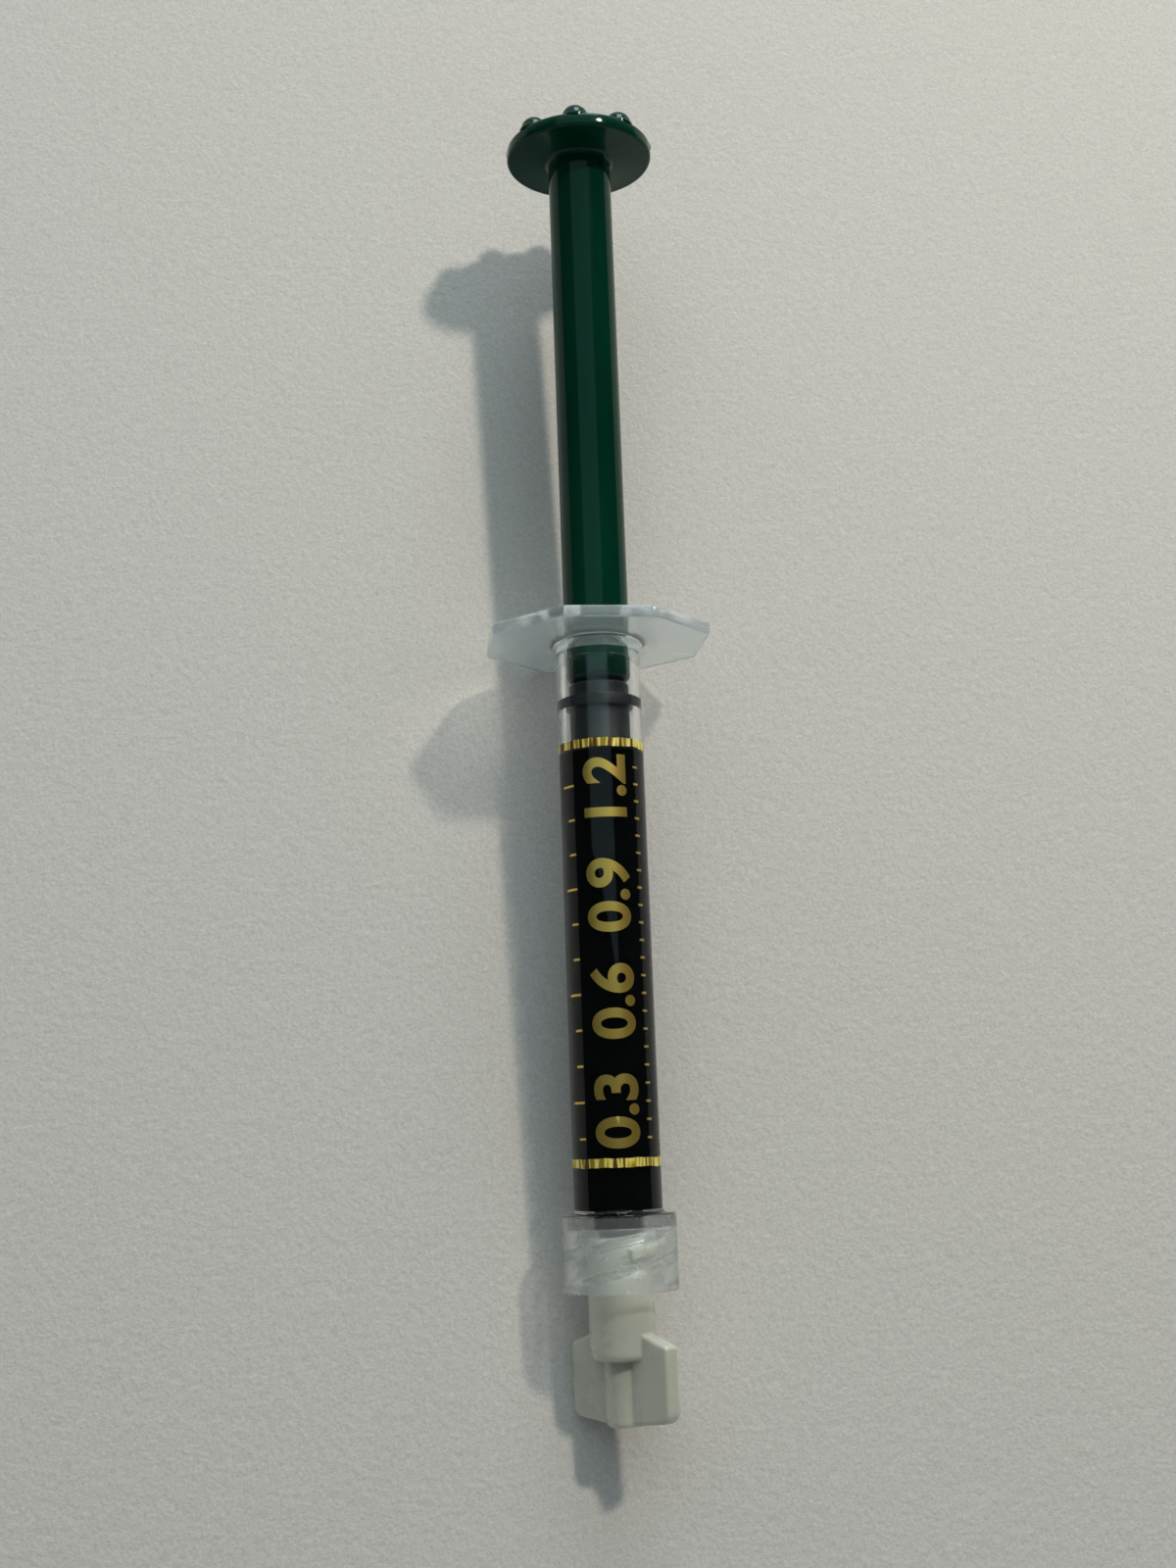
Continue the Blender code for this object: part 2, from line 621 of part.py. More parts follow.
def main():
    clear_scene()
    clear_plastic = make_material("clear_plastic", (0.72, 0.78, 0.78), 0.12, alpha=0.35)
    green_plastic = make_material("green_plastic", (0.0, 0.09, 0.05), 0.12)
    black_rubber = make_material("black_rubber", (0.02, 0.022, 0.026), 0.45)
    black_gel = make_material("black_gel", (0.004, 0.004, 0.004), 0.08)
    ivory_plastic = make_material("ivory_plastic", (0.7, 0.69, 0.62), 0.35)
    gold_foil = make_material("gold_foil", (0.83, 0.6, 0.16), 0.2, metallic=1.0)

    syringe = add_empty("syringe")
    plunger_axis = add_empty("plunger_axis", syringe)
    cap_axis = add_empty("cap_axis", syringe)

    pieces = [
        make_barrel(syringe, clear_plastic),
        make_stopper(plunger_axis, black_rubber),
        make_plunger_rod(plunger_axis, green_plastic),
        make_gel_column(syringe, black_gel),
        make_cap_gel(cap_axis, black_gel),
        make_tip_cap(cap_axis, ivory_plastic),
        make_foil_band("foil_band_upper", -UPPER_BAND_AT, syringe, gold_foil),
        make_foil_band(
            "foil_band_lower", LOWER_BAND_FROM_BORE_END - BORE_DEPTH, syringe, gold_foil
        ),
    ]
    bpy.context.view_layer.update()
    lay_down(syringe, pieces)


if __name__ == "__main__":
    main()
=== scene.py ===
"""Visual model of a prefilled gel syringe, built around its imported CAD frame.

Each piece is modelled in the syringe's own frame: z = 0 on the thumb side of the finger
flange, +Z towards the thumb disc, -Z towards the tip, +Y up as it lies. LAY puts it in place.
"""

import json
import math

import bmesh
import bpy
from bpy.props import FloatProperty, FloatVectorProperty, IntProperty, PointerProperty
from bpy.types import Operator, Panel, PropertyGroup
from mathutils import Matrix, Vector


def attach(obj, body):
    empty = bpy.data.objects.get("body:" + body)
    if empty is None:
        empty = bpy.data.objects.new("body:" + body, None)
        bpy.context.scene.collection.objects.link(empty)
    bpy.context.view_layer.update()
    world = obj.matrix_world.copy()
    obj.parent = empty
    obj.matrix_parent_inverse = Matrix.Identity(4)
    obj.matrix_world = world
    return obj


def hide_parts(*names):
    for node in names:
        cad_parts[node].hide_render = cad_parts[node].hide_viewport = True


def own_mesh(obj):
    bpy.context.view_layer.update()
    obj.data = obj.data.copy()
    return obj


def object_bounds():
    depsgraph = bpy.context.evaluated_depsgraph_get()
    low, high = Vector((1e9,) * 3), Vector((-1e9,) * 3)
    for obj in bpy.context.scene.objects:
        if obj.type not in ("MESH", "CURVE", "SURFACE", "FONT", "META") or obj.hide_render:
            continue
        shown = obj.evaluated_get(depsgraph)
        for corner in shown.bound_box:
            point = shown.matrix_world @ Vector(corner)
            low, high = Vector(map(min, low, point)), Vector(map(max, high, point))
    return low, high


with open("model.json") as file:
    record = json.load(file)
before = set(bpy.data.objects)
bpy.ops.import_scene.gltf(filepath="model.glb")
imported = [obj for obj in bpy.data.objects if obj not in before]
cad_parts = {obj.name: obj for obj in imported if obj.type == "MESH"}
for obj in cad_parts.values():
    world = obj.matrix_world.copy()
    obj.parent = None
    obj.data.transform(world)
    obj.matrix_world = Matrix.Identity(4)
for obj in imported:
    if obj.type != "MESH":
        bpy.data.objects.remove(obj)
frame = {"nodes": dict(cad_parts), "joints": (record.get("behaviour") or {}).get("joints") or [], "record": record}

bl_info = {
    "name": "Gel Syringe",
    "version": (1, 0, 0),
    "blender": (4, 5, 0),
    "location": "3D View > Sidebar > Gel Syringe",
    "description": "Builds a prefilled luer-lock gel syringe piece by piece",
    "category": "Object",
}

MM = 0.001
CAD_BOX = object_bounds()

JOINTS = {joint["name"]: joint for joint in frame["joints"]}
MOUNTS = {mount["name"]: mount for mount in frame["record"]["mounts"]}


def syringe_frame():
    """The matrix from the syringe's own frame to the frame of the CAD."""
    along = -Vector(JOINTS["plunger_slide"]["axis"]).normalized()
    up = -Vector(MOUNTS["flange_rest_edge"]["axis"]).normalized()
    side = up.cross(along)
    on_axis = Vector(JOINTS["rod_swivel"]["pos_m"])
    flange_face = Vector(MOUNTS["flange_thumb_side"]["pos_m"])
    origin = on_axis + along * (flange_face - on_axis).dot(along)
    place = Matrix((side, up, along)).transposed().to_4x4()
    place.translation = origin
    return place


LAY = syringe_frame()
UNLAY = LAY.inverted()


def height(spot):
    """Height of a mount or joint along the syringe."""
    return (UNLAY @ Vector(spot["pos_m"])).z


def reach(node):
    """Lowest and highest height of a CAD node along the syringe, and its greatest radius."""
    points = [UNLAY @ vertex.co for vertex in frame["nodes"][node].data.vertices]
    heights = [point.z for point in points]
    return min(heights), max(heights), max(point.xy.length for point in points)


STOPPER_FRONT, STOPPER_BACK, _ = reach("stopper")
GEL_END, _, GEL_RADIUS = reach("gel_column")
ROD_END, _, DISC_RADIUS = reach("plunger_rod")
CAP_END, CAP_MOUTH, _ = reach("tip_cap")
UPPER_BAND = reach("foil_band_upper")
LOWER_BAND = reach("foil_band_lower")
COLLAR_END = height(MOUNTS["collar_end_face"])
DISC_TOP = height(MOUNTS["thumb_face"])
FLANGE_BACK = height(MOUNTS["finger_face"])
FLANGE_APOTHEM = -(UNLAY @ Vector(MOUNTS["flange_rest_edge"]["pos_m"])).y
ROD_SHOULDER = height(JOINTS["rod_swivel"])
TRAVEL = JOINTS["plunger_slide"]["range_m"][1]
CAD_PLAY = 0.1 * MM
BORE_RADIUS = GEL_RADIUS + CAD_PLAY
NOZZLE_END = GEL_END - CAD_PLAY

# Where the clear wall touches rubber or gel, these sink a little into it, so no air shows.
WETTING = 0.02 * MM
# Gap left between gel and stopper, which would otherwise share a face.
CREASE = 0.01 * MM
# Gel left in front of the stopper at the end of its travel.
LEFT_OVER = 0.05 * MM
# From the end of the bore to the top of the collar.
COLLAR_DROP = 0.2 * MM
# Length of the thin neck of the rod's stud, and of the stopper's socket around it.
STUD_NECK = 2.0 * MM
# How far below its line the middle of a numeral stands.
NUMERAL_DROP = 0.7 * MM

SIDES_PER_FLAT = 24
FLATS = 8
ROUND_STEPS = 5


def length(name, default, description):
    """A size in metres."""
    return FloatProperty(
        name=name,
        description=description,
        default=default,
        min=0.0,
        precision=5,
        subtype="DISTANCE",
        unit="LENGTH",
    )


def colour(name, default, description):
    return FloatVectorProperty(
        name=name,
        description=description,
        default=default,
        size=3,
        min=0.0,
        max=1.0,
        subtype="COLOR",
    )


class BarrelSizes(PropertyGroup):
    """Sizes of the clear moulding: tube, finger flange, nozzle and luer-lock collar."""

    wall: length("Wall", 0.75 * MM, "Thickness of the tube's wall")
    bore_depth: length("Bore depth", 52.8 * MM, "From the flange's thumb side to the bore's end")
    bore_chamfer: length("Bore end chamfer", 0.4 * MM, "Cone at the end of the bore")
    lead_in: length("Lead-in", 0.3 * MM, "Chamfer at the mouth of the bore")
    flange_corner: length("Flange corner", 0.8 * MM, "Rounding of the octagon's corners")
    flange_edge: length("Flange edge", 0.28 * MM, "Rounding of the flange's rim")
    flange_fillet: length("Flange fillet", 0.9 * MM, "Fillet between flange and tube")
    collar_wall: length("Collar wall", 1.05 * MM, "Thickness of the collar's wall")
    collar_web: length("Collar web", 1.2 * MM, "Thickness of the collar's floor")
    collar_bore: length("Collar bore", 4.03 * MM, "Radius of the collar inside, at the root")
    collar_edge: length("Collar edge", 0.22 * MM, "Rounding of the collar's edges")
    funnel: length("Funnel", 1.45 * MM, "Radius of the nozzle's channel where it leaves the bore")
    channel: length("Channel", 1.0 * MM, "Radius of the nozzle's channel")
    nozzle_tip: length("Nozzle tip", 1.975 * MM, "Radius of the nozzle at its end")
    taper: FloatProperty(
        name="Luer taper",
        description="Growth of the nozzle's radius for each unit of length",
        default=0.03,
        min=0.0,
        max=0.1,
    )
    thread_lead: length("Thread lead", 5.0 * MM, "Advance of the thread in one turn")
    thread_starts: IntProperty(
        name="Thread starts", description="Number of thread ridges", default=2, min=1, max=4
    )
    thread_height: length("Thread height", 0.5 * MM, "Height of the thread's ridge")
    thread_root: length("Thread root", 0.95 * MM, "Width of the ridge at its foot")
    thread_crest: length("Thread crest", 0.4 * MM, "Width of the ridge at its crest")


class PlungerSizes(PropertyGroup):
    """Sizes of the plunger rod and the rubber stopper."""

    rod_play: length("Rod play", 0.125 * MM, "Gap between rod and bore")
    disc_thickness: length("Disc thickness", 1.35 * MM, "Thickness of the thumb disc")
    disc_dish: length("Disc dish", 0.2 * MM, "How much thicker the disc is at the rod")
    disc_edge: length("Disc edge", 0.4 * MM, "Rounding of the disc's rim")
    disc_fillet: length("Disc fillet", 0.5 * MM, "Fillet between rod and disc")
    bump_radius: length("Bump radius", 1.3 * MM, "Radius of a grip bump")
    bump_inset: length("Bump inset", 0.05 * MM, "From a bump to the disc's rim")
    bump_foot: length("Bump foot", 0.22 * MM, "Fillet at the foot of a bump")
    bump_count: IntProperty(
        name="Grip bumps", description="Number of bumps on the disc", default=8, min=0, max=24
    )
    bump_phase: FloatProperty(
        name="Bump phase",
        description="Angle of the first bump",
        default=math.radians(35.5),
        subtype="ANGLE",
        unit="ROTATION",
    )
    head_length: length("Head length", 2.1 * MM, "Length of the rod's head")
    waist_length: length("Waist length", 2.4 * MM, "Length of the waist above the head")
    head_relief: length("Head relief", 0.05 * MM, "How much slimmer the head is than the rod")
    waist_relief: length("Waist relief", 0.15 * MM, "How much slimmer the waist is")
    head_round: length("Head round", 0.55 * MM, "Rounding of the head and the waist")
    stud_radius: length("Stud radius", 1.5 * MM, "Neck of the stud in the stopper")
    barb_radius: length("Barb radius", 1.9 * MM, "Barb of the stud in the stopper")
    stopper_play: length("Stopper play", 0.25 * MM, "Gap around the stud")
    stopper_body: length("Stopper body", 2.775 * MM, "Radius between the sealing ribs")
    rib_width: length("Rib width", 1.1 * MM, "Width of a sealing rib")
    rib_offset: length("Rear rib", 1.35 * MM, "From the stopper's back to its rear rib")


class CapSizes(PropertyGroup):
    """Sizes of the tip cap."""

    hub_wall: length("Hub wall", 0.7 * MM, "Thickness of the hub's wall")
    socket_play: length("Socket play", 0.1 * MM, "Gap between nozzle and socket")
    socket_floor: length("Socket floor", 0.3 * MM, "From the socket's end to the shoulder")
    hub_past: length("Hub end", 2.25 * MM, "From the wings' shoulder to the end of the hub")
    hub_round: length("Hub round", 0.55 * MM, "Rounding of the hub's end")
    wing_span: length("Wing span", 11.5 * MM, "Across both wings")
    wing_thickness: length("Wing thickness", 1.6 * MM, "Thickness of the wings")
    wing_length: length("Wing length", 7.85 * MM, "From the shoulder to the end of the cap")
    wing_slope: FloatProperty(
        name="Wing slope", description="Fall of the wings' shoulder", default=0.34, min=0.0
    )
    wing_foot: length("Wing foot", 0.6 * MM, "How far the wings end before the core")
    wing_corner: length("Wing corner", 1.0 * MM, "Rounding of the wings' lower corners")
    wing_shoulder: length("Shoulder corner", 0.45 * MM, "Rounding of the wings' upper corners")
    wing_edge: length("Wing edge", 0.36 * MM, "Rounding of the wings' edges")
    wing_angle: FloatProperty(
        name="Wing angle",
        description="Turn of the wings about the syringe",
        default=math.radians(129),
        subtype="ANGLE",
        unit="ROTATION",
    )
    core_radius: length("Core radius", 1.75 * MM, "Radius of the core between the wings")
    lug_radius: length("Lug radius", 3.78 * MM, "Reach of a thread lug")
    lug_width: length("Lug width", 1.1 * MM, "Width of a thread lug")
    lug_arc: FloatProperty(
        name="Lug arc",
        description="Arc of a thread lug",
        default=math.radians(64),
        subtype="ANGLE",
        unit="ROTATION",
    )
    blend: length("Blend", 0.085 * MM, "Grid on which the cap's shapes are blended together")


class PrintSizes(PropertyGroup):
    """Sizes of the gold foil print."""

    thickness: length("Foil thickness", 0.015 * MM, "Height of the foil on the barrel")
    numeral_height: length("Numeral height", 4.1 * MM, "Height of the numerals")
    numeral_size: length("Numeral size", 5.5 * MM, "Type size along the barrel")
    numeral_weight: length("Numeral weight", 0.17 * MM, "Extra weight of the strokes")
    tick_width: length("Tick width", 0.2 * MM, "Width of a graduation line")
    facing: FloatProperty(
        name="Facing",
        description="Angle of the middle of the print about the syringe",
        default=math.radians(86),
        subtype="ANGLE",
        unit="ROTATION",
    )


class Finishes(PropertyGroup):
    """Colours of the materials."""

    clear: colour("Clear plastic", (0.96, 0.97, 0.97), "Tint of the tube")
    haze: colour("Milky plastic", (0.93, 0.985, 0.99), "Tint of the finger flange")
    frost: colour("Frosted plastic", (0.93, 0.955, 0.94), "Tint of the collar")
    green: colour("Green plastic", (0.0, 0.046, 0.026), "Plunger rod")
    rubber: colour("Rubber", (0.022, 0.028, 0.032), "Stopper")
    gel: colour("Gel", (0.002, 0.003, 0.003), "Filling")
    ivory: colour("Ivory plastic", (0.62, 0.62, 0.53), "Tip cap")
    gold: colour("Gold foil", (0.93, 0.72, 0.12), "Foil where it is brightest")
    paper: colour("Paper", (0.775, 0.735, 0.69), "Floor")


class StageSettings(PropertyGroup):
    """Camera and lights."""

    focal_length: FloatProperty(
        name="Focal length",
        description="Lens of the camera",
        default=42.75,
        min=10.0,
        subtype="DISTANCE_CAMERA",
        unit="CAMERA",
    )
    distance: length("Distance", 172.04 * MM, "From the camera to the point it looks at")
    aim_along: length("Aim along", 14.25 * MM, "Point looked at, from the flange to the tip")
    aim_side: length("Aim aside", 1.34 * MM, "Point looked at, beside the axis")
    azimuth: FloatProperty(
        name="Azimuth",
        description="Camera's bearing",
        default=math.radians(-114.21),
        subtype="ANGLE",
        unit="ROTATION",
    )
    elevation: FloatProperty(
        name="Elevation",
        description="Camera's angle above the table",
        default=math.radians(73.04),
        subtype="ANGLE",
        unit="ROTATION",
    )
    roll: FloatProperty(
        name="Roll",
        description="Camera's turn about its own line of sight",
        default=math.radians(22.53),
        subtype="ANGLE",
        unit="ROTATION",
    )
    key_power: FloatProperty(
        name="Key light", description="Power of the key light", default=0.66, min=0.0, unit="POWER"
    )
    panel_power: FloatProperty(
        name="Ceiling panel", description="Power of the panel", default=0.45, min=0.0, unit="POWER"
    )
    window_power: FloatProperty(
        name="Window", description="Power of the window", default=2.2, min=0.0, unit="POWER"
    )
    room_light: FloatProperty(
        name="Room light", description="Strength of the soft surroundings", default=1.0, min=0.0
    )


# ---------------------------------------------------------------- mesh making


def rounded(corners, steps=ROUND_STEPS):
    """A profile of (radius, height) points from (radius, height, rounding) corners."""
    profile = []
    last = len(corners) - 1
    for i, (radius, z, rounding) in enumerate(corners):
        corner = Vector((radius, z))
        if rounding <= 0 or i in (0, last):
            profile.append(corner)
            continue
        back = Vector(corners[i - 1][:2]) - corner
        ahead = Vector(corners[i + 1][:2]) - corner
        half = back.angle(ahead) / 2
        room = 0.49 * min(back.length, ahead.length)
        rounding = min(rounding, room * math.tan(half))
        back.normalize()
        ahead.normalize()
        centre = corner + (back + ahead).normalized() * rounding / math.sin(half)
        start = corner + back * rounding / math.tan(half) - centre
        end = corner + ahead * rounding / math.tan(half) - centre
        sweep = start.angle_signed(end)
        for step in range(steps + 1):
            turn = Matrix.Rotation(-sweep * step / steps, 2)
            profile.append(centre + turn @ start)
    return profile


def ring_angles():
    """Angles around the syringe, closer together at the octagon's corners."""
    angles = []
    flat = 2 * math.pi / FLATS
    for side in range(FLATS):
        for i in range(SIDES_PER_FLAT):
            share = 2 * i / SIDES_PER_FLAT - 1
            eased = share * (1.5 - 0.5 * share * share)
            angles.append(side * flat + eased * flat / 2)
    return angles


ANGLES = ring_angles()


def polar(radius, angle, z):
    return Vector((radius * math.cos(angle), radius * math.sin(angle), z))


def circle(radius, z):
    if radius < 1e-7:
        return [Vector((0, 0, z))]
    return [polar(radius, angle, z) for angle in ANGLES]


def octagon(apothem, corner, z):
    """A ring on an octagon with rounded corners."""
    half = math.pi / FLATS
    centre = (apothem - corner) / math.cos(half)
    points = []
    for angle in ANGLES:
        off_flat = abs((angle + half) % (2 * half) - half)
        if apothem * math.tan(off_flat) <= (apothem - corner) * math.tan(half):
            radius = apothem / math.cos(off_flat)
        else:
            off_corner = half - off_flat
            radius = centre * math.cos(off_corner)
            radius += math.sqrt(max(corner**2 - (centre * math.sin(off_corner)) ** 2, 0))
        points.append(polar(radius, angle, z))
    return points


def skin(bm, rings, closed=False):
    """Faces between rings of equally many points; a ring of one point is a pole."""
    loops = [[bm.verts.new(point) for point in ring] for ring in rings]
    pairs = list(zip(loops, loops[1:]))
    if closed:
        pairs.append((loops[-1], loops[0]))
    for first, second in pairs:
        count = max(len(first), len(second))
        for i in range(count):
            j = (i + 1) % count
            face = [first[i % len(first)], first[j % len(first)]]
            face += [second[j % len(second)], second[i % len(second)]]
            bm.faces.new(list(dict.fromkeys(face)))
    return loops


def turned(bm, corners, closed=False, steps=ROUND_STEPS):
    """A body of revolution about the syringe's axis from (radius, height, rounding) corners."""
    profile = rounded(corners, steps)
    return skin(bm, [circle(radius, z) for radius, z in profile], closed)


def add_piece(name, bm, body, materials, stands_for=(), sharp=35.0):
    """Put a finished mesh in the scene, on its body."""
    bmesh.ops.transform(bm, matrix=LAY, verts=bm.verts)
    bmesh.ops.recalc_face_normals(bm, faces=bm.faces)
    mesh = bpy.data.meshes.new(name)
    bm.to_mesh(mesh)
    bm.free()
    mesh.shade_smooth()
    mesh.set_sharp_from_angle(angle=math.radians(sharp))
    for material in materials:
        mesh.materials.append(material)
    obj = bpy.data.objects.new(name, mesh)
    bpy.context.scene.collection.objects.link(obj)
    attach(obj, body)
    if stands_for:
        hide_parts(*stands_for)
    return obj


def keep_flats_flat(obj):
    """Weight the normals by face area, so that flats shade flat up to their rounded edges."""
    weighted = obj.modifiers.new("flat_faces", "WEIGHTED_NORMAL")
    weighted.keep_sharp = True
    weighted.weight = 60


# ---------------------------------------------------------------- materials


def add_node(tree, kind, inputs=None, **settings):
    """A node with its settings, and its inputs set to values or linked to sockets."""
    node = tree.nodes.new(kind)
    for name, value in settings.items():
        setattr(node, name, value)
    for name, value in (inputs or {}).items():
        if isinstance(value, bpy.types.NodeSocket):
            tree.links.new(value, node.inputs[name])
        else:
            node.inputs[name].default_value = value
    return node


def new_material(name):
    """An empty material with its tree and output node."""
    material = bpy.data.materials.new(name)
    material.use_nodes = True
    tree = material.node_tree
    tree.nodes.clear()
    output = add_node(tree, "ShaderNodeOutputMaterial")
    return material, tree, output


def grain(tree, scale, detail=2.0, stretch=(1, 1, 1), roughness=0.5):
    """Noise in the syringe's own frame, in grains per metre, drawn out by stretch."""
    where = add_node(tree, "ShaderNodeTexCoord")
    mapping = add_node(
        tree,
        "ShaderNodeMapping",
        {
            "Vector": where.outputs["Object"],
            "Location": LAY.translation,
            "Rotation": LAY.to_euler(),
            "Scale": stretch,
        },
        vector_type="TEXTURE",
    )
    noise = add_node(
        tree,
        "ShaderNodeTexNoise",
        {
            "Vector": mapping.outputs["Vector"],
            "Scale": scale,
            "Detail": detail,
            "Roughness": roughness,
        },
    )
    return noise.outputs["Fac"]


def ramp(tree, factor, stops):
    """Colours from a factor; stops are (place, colour)."""
    node = add_node(tree, "ShaderNodeValToRGB", {"Fac": factor})
    elements = node.color_ramp.elements
    while len(elements) < len(stops):
        elements.new(0.5)
    for element, (place, tint) in zip(elements, stops):
        element.position = place
        element.color = (*tint, 1.0)
    return node.outputs["Color"]


def spread(tree, factor, low, high):
    """Map noise to a range of values."""
    node = add_node(
        tree,
        "ShaderNodeMapRange",
        {"Value": factor, "From Min": 0.3, "From Max": 0.7, "To Min": low, "To Max": high},
    )
    return node.outputs["Result"]


def relief(tree, factor, depth, strength=1.0):
    """A bump of a depth in metres."""
    node = add_node(
        tree, "ShaderNodeBump", {"Height": factor, "Distance": depth, "Strength": strength}
    )
    return node.outputs["Normal"]


def shade(tint, share):
    return tuple(min(channel * share, 1.0) for channel in tint)


def clear_material(name, tint, clearness, rough_low, rough_high, shadow):
    """Clear moulded plastic that bends what is behind it and lets the lamps through."""
    material, tree, output = new_material(name)
    cloud = grain(tree, 350.0, 3.0)
    flow = grain(tree, 900.0, 2.0, stretch=(1, 1, 7))
    plastic = add_node(
        tree,
        "ShaderNodeBsdfPrincipled",
        {
            "Base Color": ramp(tree, cloud, [(0.3, shade(tint, 0.95)), (0.7, shade(tint, 1.03))]),
            "Roughness": spread(tree, cloud, rough_low, rough_high),
            "IOR": 1.49,
            "Transmission Weight": clearness,
            "Normal": relief(tree, flow, 0.006 * MM, 0.6),
        },
    )
    edge = add_node(tree, "ShaderNodeLayerWeight", {"Blend": 0.35})
    passing = ramp(
        tree,
        edge.outputs["Facing"],
        [(0.0, (shadow, shadow, shadow * 1.02)), (0.95, (0.25, 0.25, 0.25))],
    )
    lamps = add_node(tree, "ShaderNodeBsdfTransparent", {"Color": passing})
    rays = add_node(tree, "ShaderNodeLightPath")
    mix = add_node(tree, "ShaderNodeMixShader", {0: rays.outputs["Is Shadow Ray"]})
    tree.links.new(plastic.outputs["BSDF"], mix.inputs[1])
    tree.links.new(lamps.outputs["BSDF"], mix.inputs[2])
    tree.links.new(mix.outputs["Shader"], output.inputs["Surface"])
    return material


def solid_material(name, colours, grain_scale, roughness, depth, stretch=(1, 1, 1), **constants):
    """Moulded plastic, rubber or gel: mottled colour, uneven gloss and a fine relief."""
    material, tree, output = new_material(name)
    mottle = grain(tree, grain_scale, 3.0, stretch)
    fine = grain(tree, grain_scale * 6, 2.0, stretch)
    shader = add_node(
        tree,
        "ShaderNodeBsdfPrincipled",
        {
            "Base Color": ramp(tree, mottle, [(0.3, colours[0]), (0.7, colours[1])]),
            "Roughness": spread(tree, mottle, *roughness),
            "Normal": relief(tree, fine, depth, 0.7),
        },
    )
    for socket, value in constants.items():
        shader.inputs[socket.replace("_", " ")].default_value = value
    tree.links.new(shader.outputs["BSDF"], output.inputs["Surface"])
    return material


def gold_material(finishes):
    """Hot-stamped gold foil: its gold, with streaks of painted highlight and painted shade along the barrel
    standing in for glints on the crinkled foil, over a fine relief.
    """
    material, tree, output = new_material("gold_foil")
    facets_and_glints = grain(tree, 1500.0, 1.0, stretch=(1, 1, 9))
    crinkle = grain(tree, 5200.0, 2.0, stretch=(1, 1, 2))
    gold = tuple(finishes.gold)
    # Painted reflection: the brown and darker gold stops are painted shade and the pale yellow stop is a painted
    # highlight, laid into the foil's colour by the same streaky noise that drives its relief.
    colours = ramp(
        tree,
        facets_and_glints,
        [
            (0.38, (0.16, 0.07, 0.01)),
            (0.42, shade(gold, 0.5)),
            (0.46, gold),
            (0.50, (1.0, 0.95, 0.45)),
            (0.54, gold),
            (0.60, shade(gold, 0.4)),
        ],
    )
    shader = add_node(
        tree,
        "ShaderNodeBsdfPrincipled",
        {
            "Base Color": colours,
            "Metallic": 0.2,
            "Roughness": spread(tree, crinkle, 0.42, 0.54),
            "Normal": relief(tree, facets_and_glints, 0.03 * MM, 0.6),
        },
    )
    tree.links.new(shader.outputs["BSDF"], output.inputs["Surface"])
    return material


def paper_material(finishes):
    """Matt paper with a fine tooth."""
    material, tree, output = new_material("paper")
    tooth = grain(tree, 1300.0, 5.0, roughness=0.65)
    fibres = grain(tree, 3600.0, 2.0)
    paper = tuple(finishes.paper)
    shader = add_node(
        tree,
        "ShaderNodeBsdfPrincipled",
        {
            "Base Color": ramp(tree, fibres, [(0.3, shade(paper, 0.9)), (0.7, shade(paper, 1.04))]),
            "Roughness": 0.9,
            "Specular IOR Level": 0.2,
            "Normal": relief(tree, tooth, 0.2 * MM, 0.6),
        },
    )
    tree.links.new(shader.outputs["BSDF"], output.inputs["Surface"])
    return material


# ---------------------------------------------------------------- the barrel


def thread_turn(sizes, angle):
    """Height of a thread groove's middle at an angle, so that the cap's lugs lie in grooves."""
    cap = bpy.context.scene.gel_syringe_cap
    lug_middle = CAP_MOUTH - cap.lug_width / 2 - sizes.thread_lead * cap.lug_arc / (4 * math.pi)
    return lug_middle + sizes.thread_lead * (angle - cap.wing_angle) / (2 * math.pi)


def ridge_rise(sizes, angle, z, low, high):
    """How far the thread stands in from the collar's bore at an angle and height."""
    pitch = sizes.thread_lead / sizes.thread_starts
    off = abs((z - thread_turn(sizes, angle)) % pitch - pitch / 2)
    crest = sizes.thread_crest / 2
    root = sizes.thread_root / 2
    share = min(max((root - off) / (root - crest), 0.0), 1.0)
    share = share * share * (3 - 2 * share)
    run_out = 0.5 * MM
    fade = min(max((z - low) / run_out, 0.0), 1.0) * min(max((high - z) / run_out, 0.0), 1.0)
    return sizes.thread_height * share * fade


def nozzle_radius(sizes, z):
    return sizes.nozzle_tip + sizes.taper * (z - NOZZLE_END)


